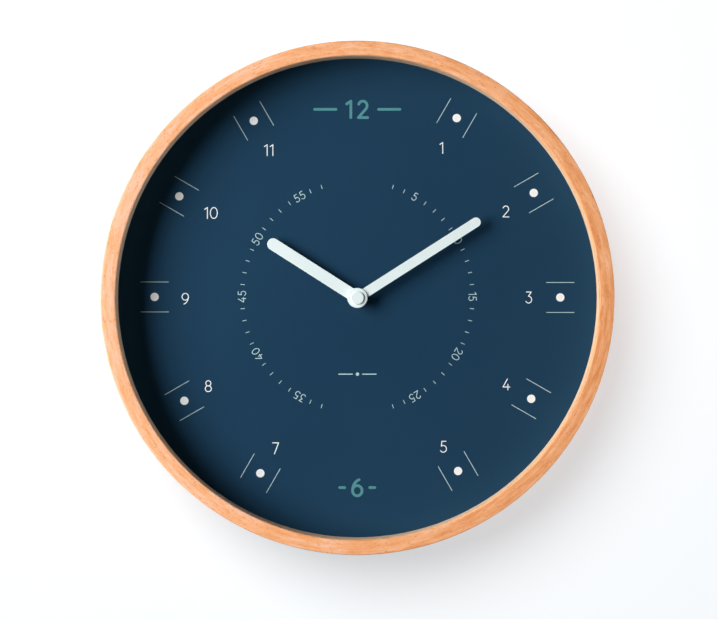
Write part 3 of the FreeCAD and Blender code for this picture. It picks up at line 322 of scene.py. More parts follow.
@dataclass(frozen=True)
class BentWood(Finish):
    """Pale beech bent to a ring, with its grain along the ring and short flecks in it, and painted
    light: paler towards the key lamp's side and darker opposite it.
    """

    rosy: Colour = rgb(251, 196, 163)
    light: Colour = rgb(249, 183, 136)
    middle: Colour = rgb(243, 169, 114)
    dark: Colour = rgb(224, 140, 80)
    fleck: Colour = rgb(204, 120, 70)
    pore: Colour = rgb(160, 88, 48)
    # Painted light: the tone is paler towards this angle, where the key lamp stands, and darker on the
    # opposite side.
    pale_side: float = 282.0
    side_share: float = 0.06
    pale_share: float = 0.035
    sways: float = 3.0
    sway: float = 2.2 * MM
    clouds: Layer = (13.0, 420.0, 3.0, 0.6)
    streaks: Layer = (4.0, 620.0, 3.0, 0.6)
    fibres: Layer = (24.0, 2400.0, 2.0, 0.6)
    flecks: Layer = (60.0, 1900.0, 1.0, 0.5)
    pores: Layer = (90.0, 1500.0, 0.0, 0.5)
    cloud_share: float = 0.55
    stops: tuple[float, ...] = (0.36, 0.45, 0.54, 0.68)
    fibre_cover: Cover = (0.5, 0.7, 0.0, 0.28)
    fleck_cover: Cover = (0.58, 0.72, 0.0, 0.5)
    pore_cover: Cover = (0.74, 0.8, 0.0, 0.6)
    fleck_sink: float = 0.6

    def draw(self, graph: Graph) -> None:
        """Fill the graph: noise in a space of cos, sin, radius and depth, so no seam shows.

        Args:
            graph: The material's empty graph.
        """
        x, y, z = graph.axes(graph.place())
        angle = graph.math("ARCTAN2", x, z)
        away = graph.math("SQRT", graph.plus(graph.times(x, x), graph.times(z, z)))
        cosine, sine = graph.math("COSINE", angle), graph.math("SINE", angle)
        wave = graph.math("SINE", graph.times(angle, self.sways))
        across = graph.plus(away, graph.times(wave, self.sway))

        def layer(along: float, cross: float, detail: float, roughness: float) -> Socket:
            """Give noise that is drawn out along the grain.

            Args:
                along: Waves for a radian of the ring.
                cross: Waves for a metre across the grain.
                detail: Number of finer layers.
                roughness: Share of each finer layer.

            Returns:
                The noise as a number.
            """
            axes = ((cosine, along), (sine, along), (across, cross))
            scaled = [graph.times(value, scale) for value, scale in axes]
            spot = graph.node("CombineXYZ", dict(enumerate(scaled))).outputs[0]
            return graph.noise(spot, 1.0, detail, roughness, graph.times(y, cross))

        clouds, streaks, fibres = layer(*self.clouds), layer(*self.streaks), layer(*self.fibres)
        flecks, pores = layer(*self.flecks), layer(*self.pores)
        # Painted light: paler towards the key lamp's side, with extra paleness right at it, and darker
        # on the opposite side.
        side = graph.math("COSINE", graph.minus(angle, math.radians(self.pale_side)))
        tone = graph.plus(
            graph.times(clouds, self.cloud_share), graph.times(streaks, 1.0 - self.cloud_share))
        tone = graph.minus(tone, graph.times(side, self.side_share))
        lit_side_gleam = graph.math("MAXIMUM", side, 0.0)
        tone = graph.minus(tone, graph.times(graph.times(lit_side_gleam, lit_side_gleam), self.pale_share))
        colours = (self.rosy, self.light, self.middle, self.dark)
        ground = graph.ramp(tone, list(zip(self.stops, colours)))
        fleck_share = graph.range(flecks, *self.fleck_cover)
        fibred = graph.mix(graph.range(fibres, *self.fibre_cover), ground, self.dark)
        flecked = graph.mix(fleck_share, fibred, self.fleck)
        colour = graph.mix(graph.range(pores, *self.pore_cover), flecked, self.pore)
        height = graph.minus(fibres, graph.times(fleck_share, self.fleck_sink))
        graph.finish(
            Base_Color=colour,
            Roughness=graph.spread(streaks, 0.5, 0.64),
            Normal=graph.bump(height, 0.05 * MM, 0.4),
            Specular_IOR_Level=0.3,
        )


@dataclass(frozen=True)
class DialBoard(Finish):
    """Printed front of the dial board, with raw hardboard behind it."""

    ink: Colour = rgb(33, 65, 91)
    ink_deep: Colour = rgb(31, 63, 89)
    board: Colour = rgb(128, 92, 62)
    board_dark: Colour = rgb(112, 79, 53)
    fibre: Colour = rgb(156, 119, 84)
    print_depth: float = 23.9 * MM
    clouds: Noise = (9.0, 2.0)
    grain: Noise = (2600.0, 2.0)
    fibres: Noise = (900.0, 4.0, 0.65)
    fibre_stretch: Stretch = (1.0, 1.0, 0.25)
    mottles: Noise = (240.0, 5.0, 0.65)
    stops: tuple[float, ...] = (0.38, 0.62)
    ink_cover: Cover = (0.35, 0.65, 0.0, 1.0)
    fibre_cover: Cover = (0.58, 0.72, 0.0, 0.55)
    print_grain: float = 0.003
    print_gloss: float = 0.17
    raw_roughness: float = 0.82
    relief: float = 0.12 * MM
    relief_share: float = 0.6

    def draw(self, graph: Graph) -> None:
        """Fill the graph: the depth tells the printed face from the raw board.

        Args:
            graph: The material's empty graph.
        """
        spot = graph.place()
        _, y, _ = graph.axes(spot)
        is_print = graph.math("LESS_THAN", y, -self.print_depth)
        cloud = graph.noise(spot, *self.clouds)
        grain = graph.noise(spot, *self.grain)
        ink = graph.mix(graph.range(cloud, *self.ink_cover), self.ink, self.ink_deep)
        fibres = graph.noise(graph.scaled(spot, self.fibre_stretch), *self.fibres)
        mottle = graph.noise(spot, *self.mottles)
        raw = graph.ramp(mottle, list(zip(self.stops, (self.board_dark, self.board))))
        raw = graph.mix(graph.range(fibres, *self.fibre_cover), raw, self.fibre)
        height = graph.times(fibres, graph.minus(1.0, is_print))
        height = graph.plus(height, graph.times(grain, self.print_grain))
        graph.finish(
            Base_Color=graph.mix(is_print, raw, ink),
            Roughness=graph.minus(self.raw_roughness, graph.times(is_print, self.print_gloss)),
            Normal=graph.bump(height, self.relief, self.relief_share),
            Specular_IOR_Level=0.03,
        )


@dataclass(frozen=True)
class DialInk(Finish):
    """Screen-printed ink: even, matt, with a faint grain."""

    colour: Colour
    faded: Colour
    grain: Noise = (1400.0, 2.0)
    fade_cover: Cover = (0.45, 0.7, 0.0, 0.7)

    def draw(self, graph: Graph) -> None:
        """Fill the graph.

        Args:
            graph: The material's empty graph.
        """
        spot = graph.place()
        cover = graph.noise(spot, *self.grain)
        colour = graph.mix(graph.range(cover, *self.fade_cover), self.colour, self.faded)
        graph.finish(
            Base_Color=colour,
            Roughness=graph.spread(cover, 0.52, 0.62),
            Normal=graph.bump(cover, 0.01 * MM, 0.4),
            Specular_IOR_Level=0.15,
        )


@dataclass(frozen=True)
class Enamel(Finish):
    """Sprayed enamel on thin metal: smooth, with the faintest orange peel."""

    colour: Colour
    shade: Colour
    roughness: float = 0.38
    peel_dull: float = 0.08
    peels: Noise = (620.0, 2.0, 0.4)
    clouds: Noise = (60.0, 2.0)
    shade_cover: Cover = (0.35, 0.65, 0.0, 1.0)

    def draw(self, graph: Graph) -> None:
        """Fill the graph.

        Args:
            graph: The material's empty graph.
        """
        spot = graph.place()
        peel = graph.noise(spot, *self.peels)
        cloud = graph.noise(spot, *self.clouds)
        colour = graph.mix(graph.range(cloud, *self.shade_cover), self.colour, self.shade)
        graph.finish(
            Base_Color=colour,
            Roughness=graph.spread(peel, self.roughness, self.roughness + self.peel_dull),
            Normal=graph.bump(peel, 0.02 * MM, 0.25),
            Specular_IOR_Level=0.35,
        )


@dataclass(frozen=True)
class ClearGlass(Finish):
    """Thin float glass: it passes light straight through and mirrors a little at a slant."""

    index: float = 1.45
    least_slant: float = 0.036
    mirror_share: float = 0.9
    tint: Colour = (0.985, 0.995, 0.992)
    roughness: float = 0.03
    smears: Noise = (14.0, 2.0)
    smeared: float = 0.85

    def draw(self, graph: Graph) -> None:
        """Fill the graph.

        Args:
            graph: The material's empty graph.
        """
        inside = graph.node("NewGeometry").outputs["Backfacing"]
        index = graph.range(inside, 0.0, 1.0, self.index, 1.0 / self.index, smooth=False)
        slant = graph.node("Fresnel", {"IOR": index}).outputs[0]
        smear = graph.noise(graph.place(), *self.smears)
        strength = graph.spread(smear, self.mirror_share * self.smeared, self.mirror_share)
        share = graph.times(graph.math("SUBTRACT", slant, self.least_slant, clamp=True), strength)
        clear = graph.node("BsdfTransparent", {"Color": self.tint})
        mirror = graph.node("BsdfGlossy", {"Color": WHITE, "Roughness": self.roughness})
        graph.surface(graph.blend(share, clear, mirror))


@dataclass(frozen=True)
class Metal(Finish):
    """Bare or plated metal with fine marks from its rolling, drawing or turning."""

    colour: Colour
    dull: Colour
    roughness: float = 0.3
    stretch: tuple[float, float, float] = (1.0, 1.0, 14.0)
    scale: float = 320.0
    mark: float = 0.01 * MM
    line_detail: Noise = (3.0, 0.6)
    line_dull: float = 0.06
    patches: Noise = (90.0, 3.0)
    dull_cover: Cover = (0.4, 0.7, 0.0, 0.8)
    patch_dull: Cover = (0.4, 0.8, 0.0, 0.12)

    def draw(self, graph: Graph) -> None:
        """Fill the graph: noise drawn out along the rolling direction, and dull patches.

        Args:
            graph: The material's empty graph.
        """
        spot = graph.place()
        lines = graph.noise(graph.scaled(spot, self.stretch), self.scale, *self.line_detail)
        patches = graph.noise(spot, *self.patches)
        colour = graph.mix(graph.range(patches, *self.dull_cover), self.colour, self.dull)
        rough = graph.plus(
            graph.spread(lines, self.roughness - self.line_dull, self.roughness + self.line_dull),
            graph.range(patches, *self.patch_dull))
        graph.finish(
            Base_Color=colour, Metallic=1.0, Roughness=rough, Normal=graph.bump(lines, self.mark, 0.6))


@dataclass(frozen=True)
class Moulded(Finish):
    """Moulded plastic, resin or rubber with a spark-eroded grain."""

    colour: Colour
    worn: Colour
    roughness: float = 0.5
    grain_scale: float = 2600.0
    grain_depth: float = 0.03 * MM
    specular: float = 0.4
    grain_detail: Noise = (2.0, 0.5)
    grain_dull: float = 0.04
    flows: Noise = (45.0, 3.0)
    flow_dull: float = 0.1
    rubs: Noise = (240.0, 4.0, 0.7)
    rub_cover: Cover = (0.56, 0.8, 0.0, 0.6)

    def draw(self, graph: Graph) -> None:
        """Fill the graph: fine grain, broad flow marks and paler rubbed spots.

        Args:
            graph: The material's empty graph.
        """
        spot = graph.place()
        grain = graph.noise(spot, self.grain_scale, *self.grain_detail)
        flow = graph.noise(spot, *self.flows)
        rubbed = graph.noise(spot, *self.rubs)
        colour = graph.mix(graph.range(rubbed, *self.rub_cover), self.colour, self.worn)
        rough = graph.plus(
            graph.spread(flow, self.roughness, self.roughness + self.flow_dull),
            graph.spread(grain, -self.grain_dull, self.grain_dull))
        graph.finish(
            Base_Color=colour, Roughness=rough, Normal=graph.bump(grain, self.grain_depth, 0.5),
            Specular_IOR_Level=self.specular)


@dataclass(frozen=True)
class CellSleeve(Finish):
    """Printed film on an AA cell: black, then a copper-coloured band, with bare steel ends."""

    black: Colour = rgb(26, 27, 30)
    copper: Colour = rgb(196, 122, 66)
    steel: Colour = rgb(196, 198, 200)
    scuffed: Colour = rgb(150, 140, 130)
    band_start: float = 9.5 * MM
    line_place: float = 8.3 * MM
    line_half: float = 0.35 * MM
    sleeve_end: float = 24.2 * MM
    sleeve_start: float = -25.0 * MM
    band_metal: float = 0.6
    scuffs: Noise = (700.0, 3.0, 0.6)
    scuff_stretch: Stretch = (0.3, 1.0, 1.0)
    scuff_cover: Cover = (0.66, 0.8, 0.0, 0.35)

    def draw(self, graph: Graph) -> None:
        """Fill the graph: the place along the cell tells film, band and bare steel apart.

        Args:
            graph: The material's empty graph.
        """
        spot = graph.place()
        x, _, _ = graph.axes(spot)
        band = graph.math("GREATER_THAN", x, self.band_start)
        line = graph.math("COMPARE", x, self.line_place, self.line_half)
        bare = graph.math("MAXIMUM", graph.math("GREATER_THAN", x, self.sleeve_end),
                          graph.math("LESS_THAN", x, self.sleeve_start))
        scuff = graph.noise(graph.scaled(spot, self.scuff_stretch), *self.scuffs)
        film = graph.mix(graph.math("MAXIMUM", band, line), self.black, self.copper)
        film = graph.mix(graph.range(scuff, *self.scuff_cover), film, self.scuffed)
        graph.finish(
            Base_Color=graph.mix(bare, film, self.steel),
            Metallic=graph.math("MAXIMUM", bare, graph.times(band, self.band_metal)),
            Roughness=graph.range(scuff, 0.3, 0.8, 0.26, 0.42),
            Normal=graph.bump(scuff, 0.01 * MM, 0.4),
        )


@dataclass(frozen=True)
class BoardLaminate(Finish):
    """Brown paper laminate with copper tracks under its lacquer."""

    base: Colour = rgb(112, 74, 30)
    light: Colour = rgb(138, 96, 44)
    track: Colour = rgb(170, 128, 60)
    fibres: Noise = (1500.0, 3.0, 0.6)
    fibre_stretch: Stretch = (0.3, 1.0, 1.0)
    fibre_cover: Cover = (0.35, 0.65, 0.0, 1.0)
    fibre_height: float = 0.2
    bends: Noise = (150.0, 0.0)
    bend_cover: Cover = (0.48, 0.52, 0.0, 1.0)
    row_scale: float = 150.0
    row_sway: float = 1.5
    row_cover: Cover = (0.62, 0.7, 0.0, 1.0)
    track_metal: float = 0.7

    def draw(self, graph: Graph) -> None:
        """Fill the graph: fibres, and tracks where two broad waves cross a level.

        Args:
            graph: The material's empty graph.
        """
        spot = graph.place()
        fibres = graph.noise(graph.scaled(spot, self.fibre_stretch), *self.fibres)
        wander = graph.noise(spot, *self.bends)
        rows = graph.waves(spot, self.row_scale, self.row_sway, "Z")
        tracks = graph.times(graph.range(rows, *self.row_cover), graph.range(wander, *self.bend_cover))
        ground = graph.mix(graph.range(fibres, *self.fibre_cover), self.base, self.light)
        height = graph.plus(tracks, graph.times(fibres, self.fibre_height))
        graph.finish(
            Base_Color=graph.mix(tracks, ground, self.track),
            Metallic=graph.times(tracks, self.track_metal),
            Roughness=graph.spread(fibres, 0.34, 0.46),
            Normal=graph.bump(height, 0.03 * MM, 0.7),
        )


@dataclass(frozen=True)
class WoundWire(Finish):
    """Enamelled copper wire in close turns round the coil's axis."""

    copper: Colour = rgb(196, 98, 52)
    shadow: Colour = rgb(112, 44, 22)
    turns_scale: float = 1250.0
    turns_sway: float = 0.4
    turn_cover: Cover = (0.05, 0.5, 0.0, 1.0)
    sheens: Noise = (260.0, 2.0)

    def draw(self, graph: Graph) -> None:
        """Fill the graph: waves along the coil, one for each turn.

        Args:
            graph: The material's empty graph.
        """
        spot = graph.place()
        turns = graph.waves(spot, self.turns_scale, self.turns_sway, "X")
        sheen = graph.noise(spot, *self.sheens)
        graph.finish(
            Base_Color=graph.mix(graph.range(turns, *self.turn_cover), self.shadow, self.copper),
            Metallic=0.85,
            Roughness=graph.spread(sheen, 0.26, 0.4),
            Normal=graph.bump(turns, 0.08 * MM, 0.8),
        )


# Painted light: a paler copy of the bent wood for the spacer hoop, whose colours stand in for bright
# light on the rim's inner wall.
HOOP_WOOD_PAINTED_LIGHT = BentWood(
    "hoop_grain_painted_light", rosy=rgb(255, 228, 200), light=rgb(255, 221, 188), middle=rgb(255, 213, 175),
    dark=rgb(250, 196, 150), fleck=rgb(236, 170, 120), pore=rgb(198, 124, 80))
INK_WHITE = DialInk("ink_white", rgb(255, 255, 255), rgb(246, 249, 251))
INK_PALE = DialInk("ink_pale", rgb(196, 222, 226), rgb(176, 204, 212))
INK_TEAL = DialInk("ink_teal", rgb(88, 150, 156), rgb(80, 138, 146))

SLOT_FINISHES: dict[Slot, Finish] = {
    Slot.BENT_WOOD: BentWood("bent_wood_grain"),
    Slot.CLEAR_GLASS: ClearGlass("float_glass"),
    Slot.PRINTED_DIAL: DialBoard("printed_board"),
    Slot.ZINC_STEEL: Metal("zinc_plated_steel", rgb(188, 192, 196), rgb(158, 164, 168), 0.32),
    Slot.BLACK_RUBBER: Moulded("black_rubber_pad", rgb(28, 28, 29), rgb(50, 50, 50), 0.78,
                               1800.0, 0.05 * MM, 0.25),
    Slot.TURNED_BRASS: Metal("turned_brass_surface", rgb(212, 172, 92), rgb(178, 138, 70), 0.24,
                             (1.0, 16.0, 1.0), 420.0),
    Slot.BLACK_PLASTIC: Moulded("black_moulding", rgb(27, 28, 30), rgb(58, 59, 62), 0.46),
    Slot.WHITE_PLASTIC: Moulded("acetal_gearing", rgb(232, 230, 222), rgb(210, 206, 194), 0.4,
                                1800.0, 0.01 * MM, 0.45),
    Slot.BATTERY_SLEEVE: CellSleeve("cell_sleeve"),
    Slot.BOARD_LAMINATE: BoardLaminate("board_laminate_tracks"),
    Slot.BLACK_RESIN: Moulded("chip_resin", rgb(17, 17, 19), rgb(34, 34, 37), 0.3,
                              900.0, 0.02 * MM, 0.5),
    Slot.COPPER_WIRE: WoundWire("coil_wire"),
    Slot.SOFT_IRON: Metal("stamped_iron", rgb(120, 121, 124), rgb(88, 86, 84), 0.42,
                          (12.0, 1.0, 1.0), 260.0),
    Slot.FERRITE: Moulded("sintered_ferrite", rgb(46, 46, 49), rgb(70, 70, 73), 0.55,
                          3200.0, 0.04 * MM, 0.45),
    Slot.HAND_ENAMEL: Enamel("hand_lacquer", rgb(244, 252, 253), rgb(240, 250, 251)),
}


# Meshes

WELD = 1e-7
CORNER_STEPS = 5
LEAST_MITRE = 0.45
LEAST_CAP = 0.02


def new_object(name: str, data: bpy.types.ID) -> Piece:
    """Put a mesh, lamp or camera into the scene as an object at the origin.

    Args:
        name: The object's name.
        data: The mesh, lamp or camera.

    Returns:
        The object.
    """
    made = bpy.data.objects.new(name, data)
    bpy.context.scene.collection.objects.link(made)
    return made


def mesh_of(name: str, points: np.ndarray, faces: Iterable[Sequence[int]]) -> Mesh:
    """Make a mesh, welded and with its faces turned outwards.

    Args:
        name: The mesh's name.
        points: One row of x, y and z for each point, in metres.
        faces: The corners of each face.

    Returns:
        The mesh.
    """
    mesh = bpy.data.meshes.new(name)
    mesh.from_pydata(points.tolist(), [], [tuple(map(int, face)) for face in faces])
    work = bmesh.new()
    work.from_mesh(mesh)
    bmesh.ops.remove_doubles(work, verts=work.verts, dist=WELD)
    bmesh.ops.dissolve_degenerate(work, edges=work.edges, dist=WELD)
    bmesh.ops.recalc_face_normals(work, faces=work.faces)
    work.to_mesh(mesh)
    work.free()
    return mesh


def smooth_by_angle(mesh: Mesh, degrees: float) -> None:
    """Shade a mesh smooth, with sharp edges where its faces meet at more than an angle."""
    mesh.shade_smooth()
    mesh.set_sharp_from_angle(angle=math.radians(degrees))


def grid_faces(rows: int, columns: int, wrap_rows: bool, wrap_columns: bool) -> np.ndarray:
    """Give the four corners of each cell of a grid.

    Args:
        rows, columns: Points of the grid each way.
        wrap_rows, wrap_columns: Whether the last line joins the first.

    Returns:
        One row of four indices for each cell.
    """
    i = np.arange(rows if wrap_rows else rows - 1)
    j = np.arange(columns if wrap_columns else columns - 1)
    a, b = np.meshgrid(i, j, indexing="ij")
    c, d = (a + 1) % rows, (b + 1) % columns
    cells = np.stack([a * columns + b, a * columns + d, c * columns + d, c * columns + b], axis=-1)
    return cells.reshape(-1, 4)


def rounded(corners: Sequence[tuple[float, float, float]]) -> np.ndarray:
    """Round the corners of a closed outline.

    Each corner becomes a quadratic curve from one side to the other: with t from 0 to 1 it is
    (1-t)^2 times its start, 2t(1-t) times the corner and t^2 times its end.

    Args:
        corners: Two coordinates and a rounding for each corner.

    Returns:
        One row of two coordinates for each point.
    """
    spots = np.array([corner[:2] for corner in corners])
    before, after = np.roll(spots, 1, axis=0), np.roll(spots, -1, axis=0)
    t = np.linspace(0.0, 1.0, CORNER_STEPS + 1)[:, None]
    curves = []
    for spot, last, following, (_, _, cut) in zip(spots, before, after, corners):
        if cut == 0.0:
            curves.append(spot[None, :])
            continue
        start = spot + (last - spot) / np.linalg.norm(last - spot) * cut
        end = spot + (following - spot) / np.linalg.norm(following - spot) * cut
        curves.append((1 - t) ** 2 * start + 2 * t * (1 - t) * spot + t ** 2 * end)
    return np.concatenate(curves)


def turned_mesh(name: str, outline: np.ndarray, segments: int) -> Mesh:
    """Carry a closed outline of radius and depth round the clock's axis.

    A point of the surface is (r sin a, -d, r cos a) for the angle a and the outline's r and d.

    Args:
        name: The mesh's name.
        outline: One row of radius and depth for each point, in metres.
        segments: Steps round the axis.

    Returns:
        The mesh.
    """
    angles = np.arange(segments)[:, None] * TURN / segments
    radius, depth = outline[:, 0][None, :], outline[:, 1][None, :]
    parts = [radius * np.sin(angles), -depth + 0.0 * angles, radius * np.cos(angles)]
    points = np.stack(parts, axis=-1).reshape(-1, 3)
    return mesh_of(name, points, grid_faces(segments, len(outline), True, True))


def ribbon(path: np.ndarray, half: float, back: float, front: float,
           closed: bool) -> tuple[np.ndarray, np.ndarray]:
    """Carry a flat rectangle along a path on the dial, with round ends.

    Beyond an open end the half width is h cos p at a distance of h sin p, with p from 0 to 90
    degrees. At a corner the sides are mitred, so their distance is h over the cosine of half the turn.

    Args:
        path: One row of x and z for each point, in metres.
        half: Half the stroke's width.
        back, front: Depths of the ink's two faces.
        closed: Whether the path's end joins its start.

    Returns:
        The points, and the corners of each face.
    """
    if closed:
        ahead, behind = np.roll(path, -1, axis=0) - path, path - np.roll(path, 1, axis=0)
    else:
        steps = np.diff(path, axis=0)
        ahead, behind = np.vstack([steps, steps[-1:]]), np.vstack([steps[:1], steps])
    ahead = ahead / np.linalg.norm(ahead, axis=1, keepdims=True)
    behind = behind / np.linalg.norm(behind, axis=1, keepdims=True)
    tangent = ahead + behind
    tangent = tangent / np.linalg.norm(tangent, axis=1, keepdims=True)
    mitre = 1.0 / np.clip(np.sum(tangent * ahead, axis=1), LEAST_MITRE, 1.0)
    normal = np.stack([-tangent[:, 1], tangent[:, 0]], axis=1)
    centre, width = path, half * mitre
    if not closed:
        swing = np.linspace(0.0, math.pi / 2, CORNER_STEPS + 1)[1:]
        reach, shrink = half * np.sin(swing), half * np.maximum(np.cos(swing), LEAST_CAP)
        first = path[0] - tangent[0] * reach[::-1, None]
        last = path[-1] + tangent[-1] * reach[:, None]
        centre = np.vstack([first, path, last])
        width = np.concatenate([shrink[::-1], width, shrink])
        ends = [np.repeat(end, CORNER_STEPS, 0) for end in (normal[:1], normal[-1:])]
        normal = np.vstack([ends[0], normal, ends[1]])
    left, right = centre + normal * width[:, None], centre - normal * width[:, None]
    corners = [(left, front), (right, front), (right, back), (left, back)]
    rows = [
        np.stack([side[:, 0], np.full(len(side), -depth), side[:, 1]], axis=1)
        for side, depth in corners]
    points = np.stack(rows, axis=1).reshape(-1, 3)
    faces = grid_faces(len(centre), 4, closed, True)
    if not closed:
        end = 4 * (len(centre) - 1)
        faces = np.vstack([faces, [0, 1, 2, 3], [end, end + 3, end + 2, end + 1]])
    return points, faces


class Workshop:
    """Holds the painted finishes, and dresses and mounts the pieces."""

    def __init__(self) -> None:
        """Paint each slot's finish once."""
        self.painted = {slot: finish.paint() for slot, finish in SLOT_FINISHES.items()}
        # The spacer hoop wears the paler copy of the wood, which is painted light.
        self.own = {"spacer_hoop": HOOP_WOOD_PAINTED_LIGHT.paint()}
        rows = frame["record"]["subparts"]
        self.node_slots = {row["node"]: Slot(row["material_slot"]) for row in rows}

    def mount(self, mesh: Mesh, body: Body, slot: Slot, node: str = "",
              material: Material | None = None) -> None:
        """Make a piece of a mesh, let it ride on a body and give it its finish.

        Args:
            mesh: The mesh, which gives the piece its name.
            body: The body that carries it.
            slot: Its material slot in the record.
            node: The CAD node that it stands for, if there is one.
            material: Its own material, where it isn't the slot's.
        """
        piece = new_object(mesh.name, mesh)
        if node:
            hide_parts(node)
        mesh.materials.clear()
        mesh.materials.append(material or self.painted[slot])
        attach(piece, body.value)
        LOG.info("%s rides on %s, %d faces", piece.name, body.value, len(mesh.polygons))

    def dress_nodes(self) -> None:
        """Give each CAD node its own material, or else that of its slot."""
        for name, slot in self.node_slots.items():
            node = frame["nodes"][name]
            if not node.material_slots:
                node.data.materials.append(None)
            material = self.own.get(name, self.painted[slot])
            for holder in node.material_slots:
                holder.material = material
            LOG.info("%s wears %s", name, material.name)


class Maker:
    """Makes some of the clock's pieces."""

    def build(self, shop: Workshop) -> None:
        """Make the pieces and mount them.

        Args:
            shop: The workshop that mounts the pieces.
        """
        raise NotImplementedError


@dataclass
class CaseRim(Maker):
    """Bent wood rim, turned finer than the CAD has it."""

    outer: float = 150.0 * MM
    bore: float = 143.6 * MM
    lip: float = 141.4 * MM
    depth: float = 44.0 * MM
    lip_back: float = 41.4 * MM
    outer_ease: float = 1.0 * MM
    inner_ease: float = 0.7 * MM
    back_ease: float = 0.7 * MM
    bore_ease: float = 0.42 * MM
    segments: int = 288
    sharp_angle: float = 40.0

    def outline(self) -> np.ndarray:
        """Give the rim's section, with its edges eased.

        Returns:
            One row of radius and depth for each point.
        """
        return rounded([
            (self.bore, 0.0, self.bore_ease),
            (self.outer, 0.0, self.back_ease),
            (self.outer, self.depth, self.outer_ease),
            (self.lip, self.depth, self.inner_ease),
            (self.lip, self.lip_back, 0.0),
            (self.bore, self.lip_back, 0.0),
        ])

    def build(self, shop: Workshop) -> None:
        """Turn the rim and mount it.

        Args:
            shop: The workshop that mounts the pieces.
        """
        mesh = turned_mesh("rim_wood", self.outline(), self.segments)
        smooth_by_angle(mesh, self.sharp_angle)
        shop.mount(mesh, Body.CASE, Slot.BENT_WOOD, "rim")


# Print


def arc(x: float, y: float, rx: float, ry: float, start: float, end: float,
        steps: int = 18) -> np.ndarray:
    """Sample an arc of an ellipse, anticlockwise from +x, in degrees."""
    angles = np.radians(np.linspace(start, end, steps + 1))
    return np.stack([x + rx * np.cos(angles), y + ry * np.sin(angles)], axis=1)


def oval(x: float, y: float, rx: float, ry: float, steps: int = 36) -> np.ndarray:
    """Sample a whole ellipse, without repeating its first point."""
    return arc(x, y, rx, ry, 0.0, 360.0, steps)[:-1]


@dataclass(frozen=True)
class Glyph:
    """A digit drawn with a pen of one width, one unit high."""

    width: float
    open_strokes: tuple[np.ndarray, ...] = ()
    closed_strokes: tuple[np.ndarray, ...] = ()


def line(*spots: tuple[float, float]) -> np.ndarray:
    """Give a stroke through a few points."""
    return np.array(spots)


SIX_STEM = arc(0.60, 0.31, 0.58, 0.70, 108.0, 180.0)
DIGITS: dict[str, Glyph] = {
    "0": Glyph(0.66, closed_strokes=(oval(0.33, 0.5, 0.32, 0.5),)),
    "1": Glyph(0.28, (line((0.01, 0.83), (0.26, 1.0)), line((0.26, 1.0), (0.26, 0.0)))),
    "2": Glyph(0.60, (
        np.vstack([arc(0.29, 0.72, 0.26, 0.28, 160.0, -36.0), line((0.02, 0.0))]),
        line((0.02, 0.0), (0.58, 0.0)))),
    "3": Glyph(0.58, (
        line((0.06, 1.0), (0.50, 1.0)), line((0.50, 1.0), (0.24, 0.61)),
        arc(0.26, 0.30, 0.28, 0.31, 94.0, -148.0))),
    "4": Glyph(0.66, (
        line((0.42, 1.0), (0.02, 0.27)), line((0.02, 0.27), (0.64, 0.27)),
        line((0.47, 0.52), (0.47, 0.0)))),
    "5": Glyph(0.58, (
        line((0.50, 1.0), (0.13, 1.0)), line((0.13, 1.0), (0.09, 0.55)),
        np.vstack([line((0.09, 0.55)), arc(0.26, 0.31, 0.29, 0.31, 112.0, -150.0)]))),
    "6": Glyph(0.62, (SIX_STEM,), (oval(0.31, 0.31, 0.29, 0.31),)),
    "7": Glyph(0.58, (line((0.02, 1.0), (0.56, 1.0)), line((0.56, 1.0), (0.18, 0.0)))),
    "8": Glyph(0.60, (), (oval(0.30, 0.76, 0.23, 0.24), oval(0.30, 0.27, 0.28, 0.27))),
    "9": Glyph(0.62, (np.array([0.62, 1.0]) - SIX_STEM,), (oval(0.31, 0.69, 0.29, 0.31),)),
}


@dataclass
class Ink:
    """Gathers strokes of ink on the dial and turns them into one piece."""

    name: str
    back: float
    front: float
    film: float = 0.003 * MM
    films: int = 7
    disc_sides: int = 40
    sharp_angle: float = 30.0

    def __post_init__(self) -> None:
        """Start with no strokes."""
        self.points: list[np.ndarray] = []
        self.faces: list[np.ndarray] = []
        self.count = 0

    def stroke(self, path: np.ndarray, width: float, closed: bool = False) -> None:
        """Draw one stroke, at another height than the last, so crossing strokes share no face.

        Args:
            path: One row of x and z for each point, in metres.
            width: The stroke's width.
            closed: Whether its end joins its start.
        """
        front = self.front + self.film * (len(self.points) % self.films)
        points, faces = ribbon(path, width / 2, self.back, front, closed)
        self.points.append(points)
        self.faces.append(faces + self.count)
        self.count += len(points)

    def disc(self, x: float, z: float, radius: float) -> None:
        """Draw a filled disc, as a ring of ink whose inner edge closes on its middle."""
        self.stroke(oval(x, z, radius / 2, radius / 2, self.disc_sides), radius, closed=True)

    def number(self, text: str, x: float, z: float, height: float, width: float, turn: float = 0.0,
               spacing: float = 0.24) -> None:
        """Write a number about a place.

        Args:
            text: Its digits.
            x, z: The place of its middle.
            height: Height of a digit, over its outer edges.
            width: The pen's width.
            turn: Clockwise turn, in degrees.
            spacing: Gap between digits, as a share of their height.
        """
        scale = height - width
        glyphs = [DIGITS[digit] for digit in text]
        total = sum(glyph.width for glyph in glyphs) + spacing * (len(glyphs) - 1)
        cosine, sine = math.cos(math.radians(turn)), math.sin(math.radians(turn))
        at = -total / 2
        for glyph in glyphs:
            for strokes, closed in ((glyph.open_strokes, False), (glyph.closed_strokes, True)):
                for drawn in strokes:
                    local = (drawn + np.array([at, -0.5])) * scale
                    across = x + local[:, 0] * cosine + local[:, 1] * sine
                    up = z - local[:, 0] * sine + local[:, 1] * cosine
                    self.stroke(np.stack([across, up], axis=1), width, closed)
            at += glyph.width + spacing

    def mesh(self) -> Mesh:
        """Join the strokes.

        Returns:
            The mesh.
        """
        mesh = mesh_of(self.name, np.vstack(self.points), np.vstack(self.faces))
        smooth_by_angle(mesh, self.sharp_angle)
        return mesh


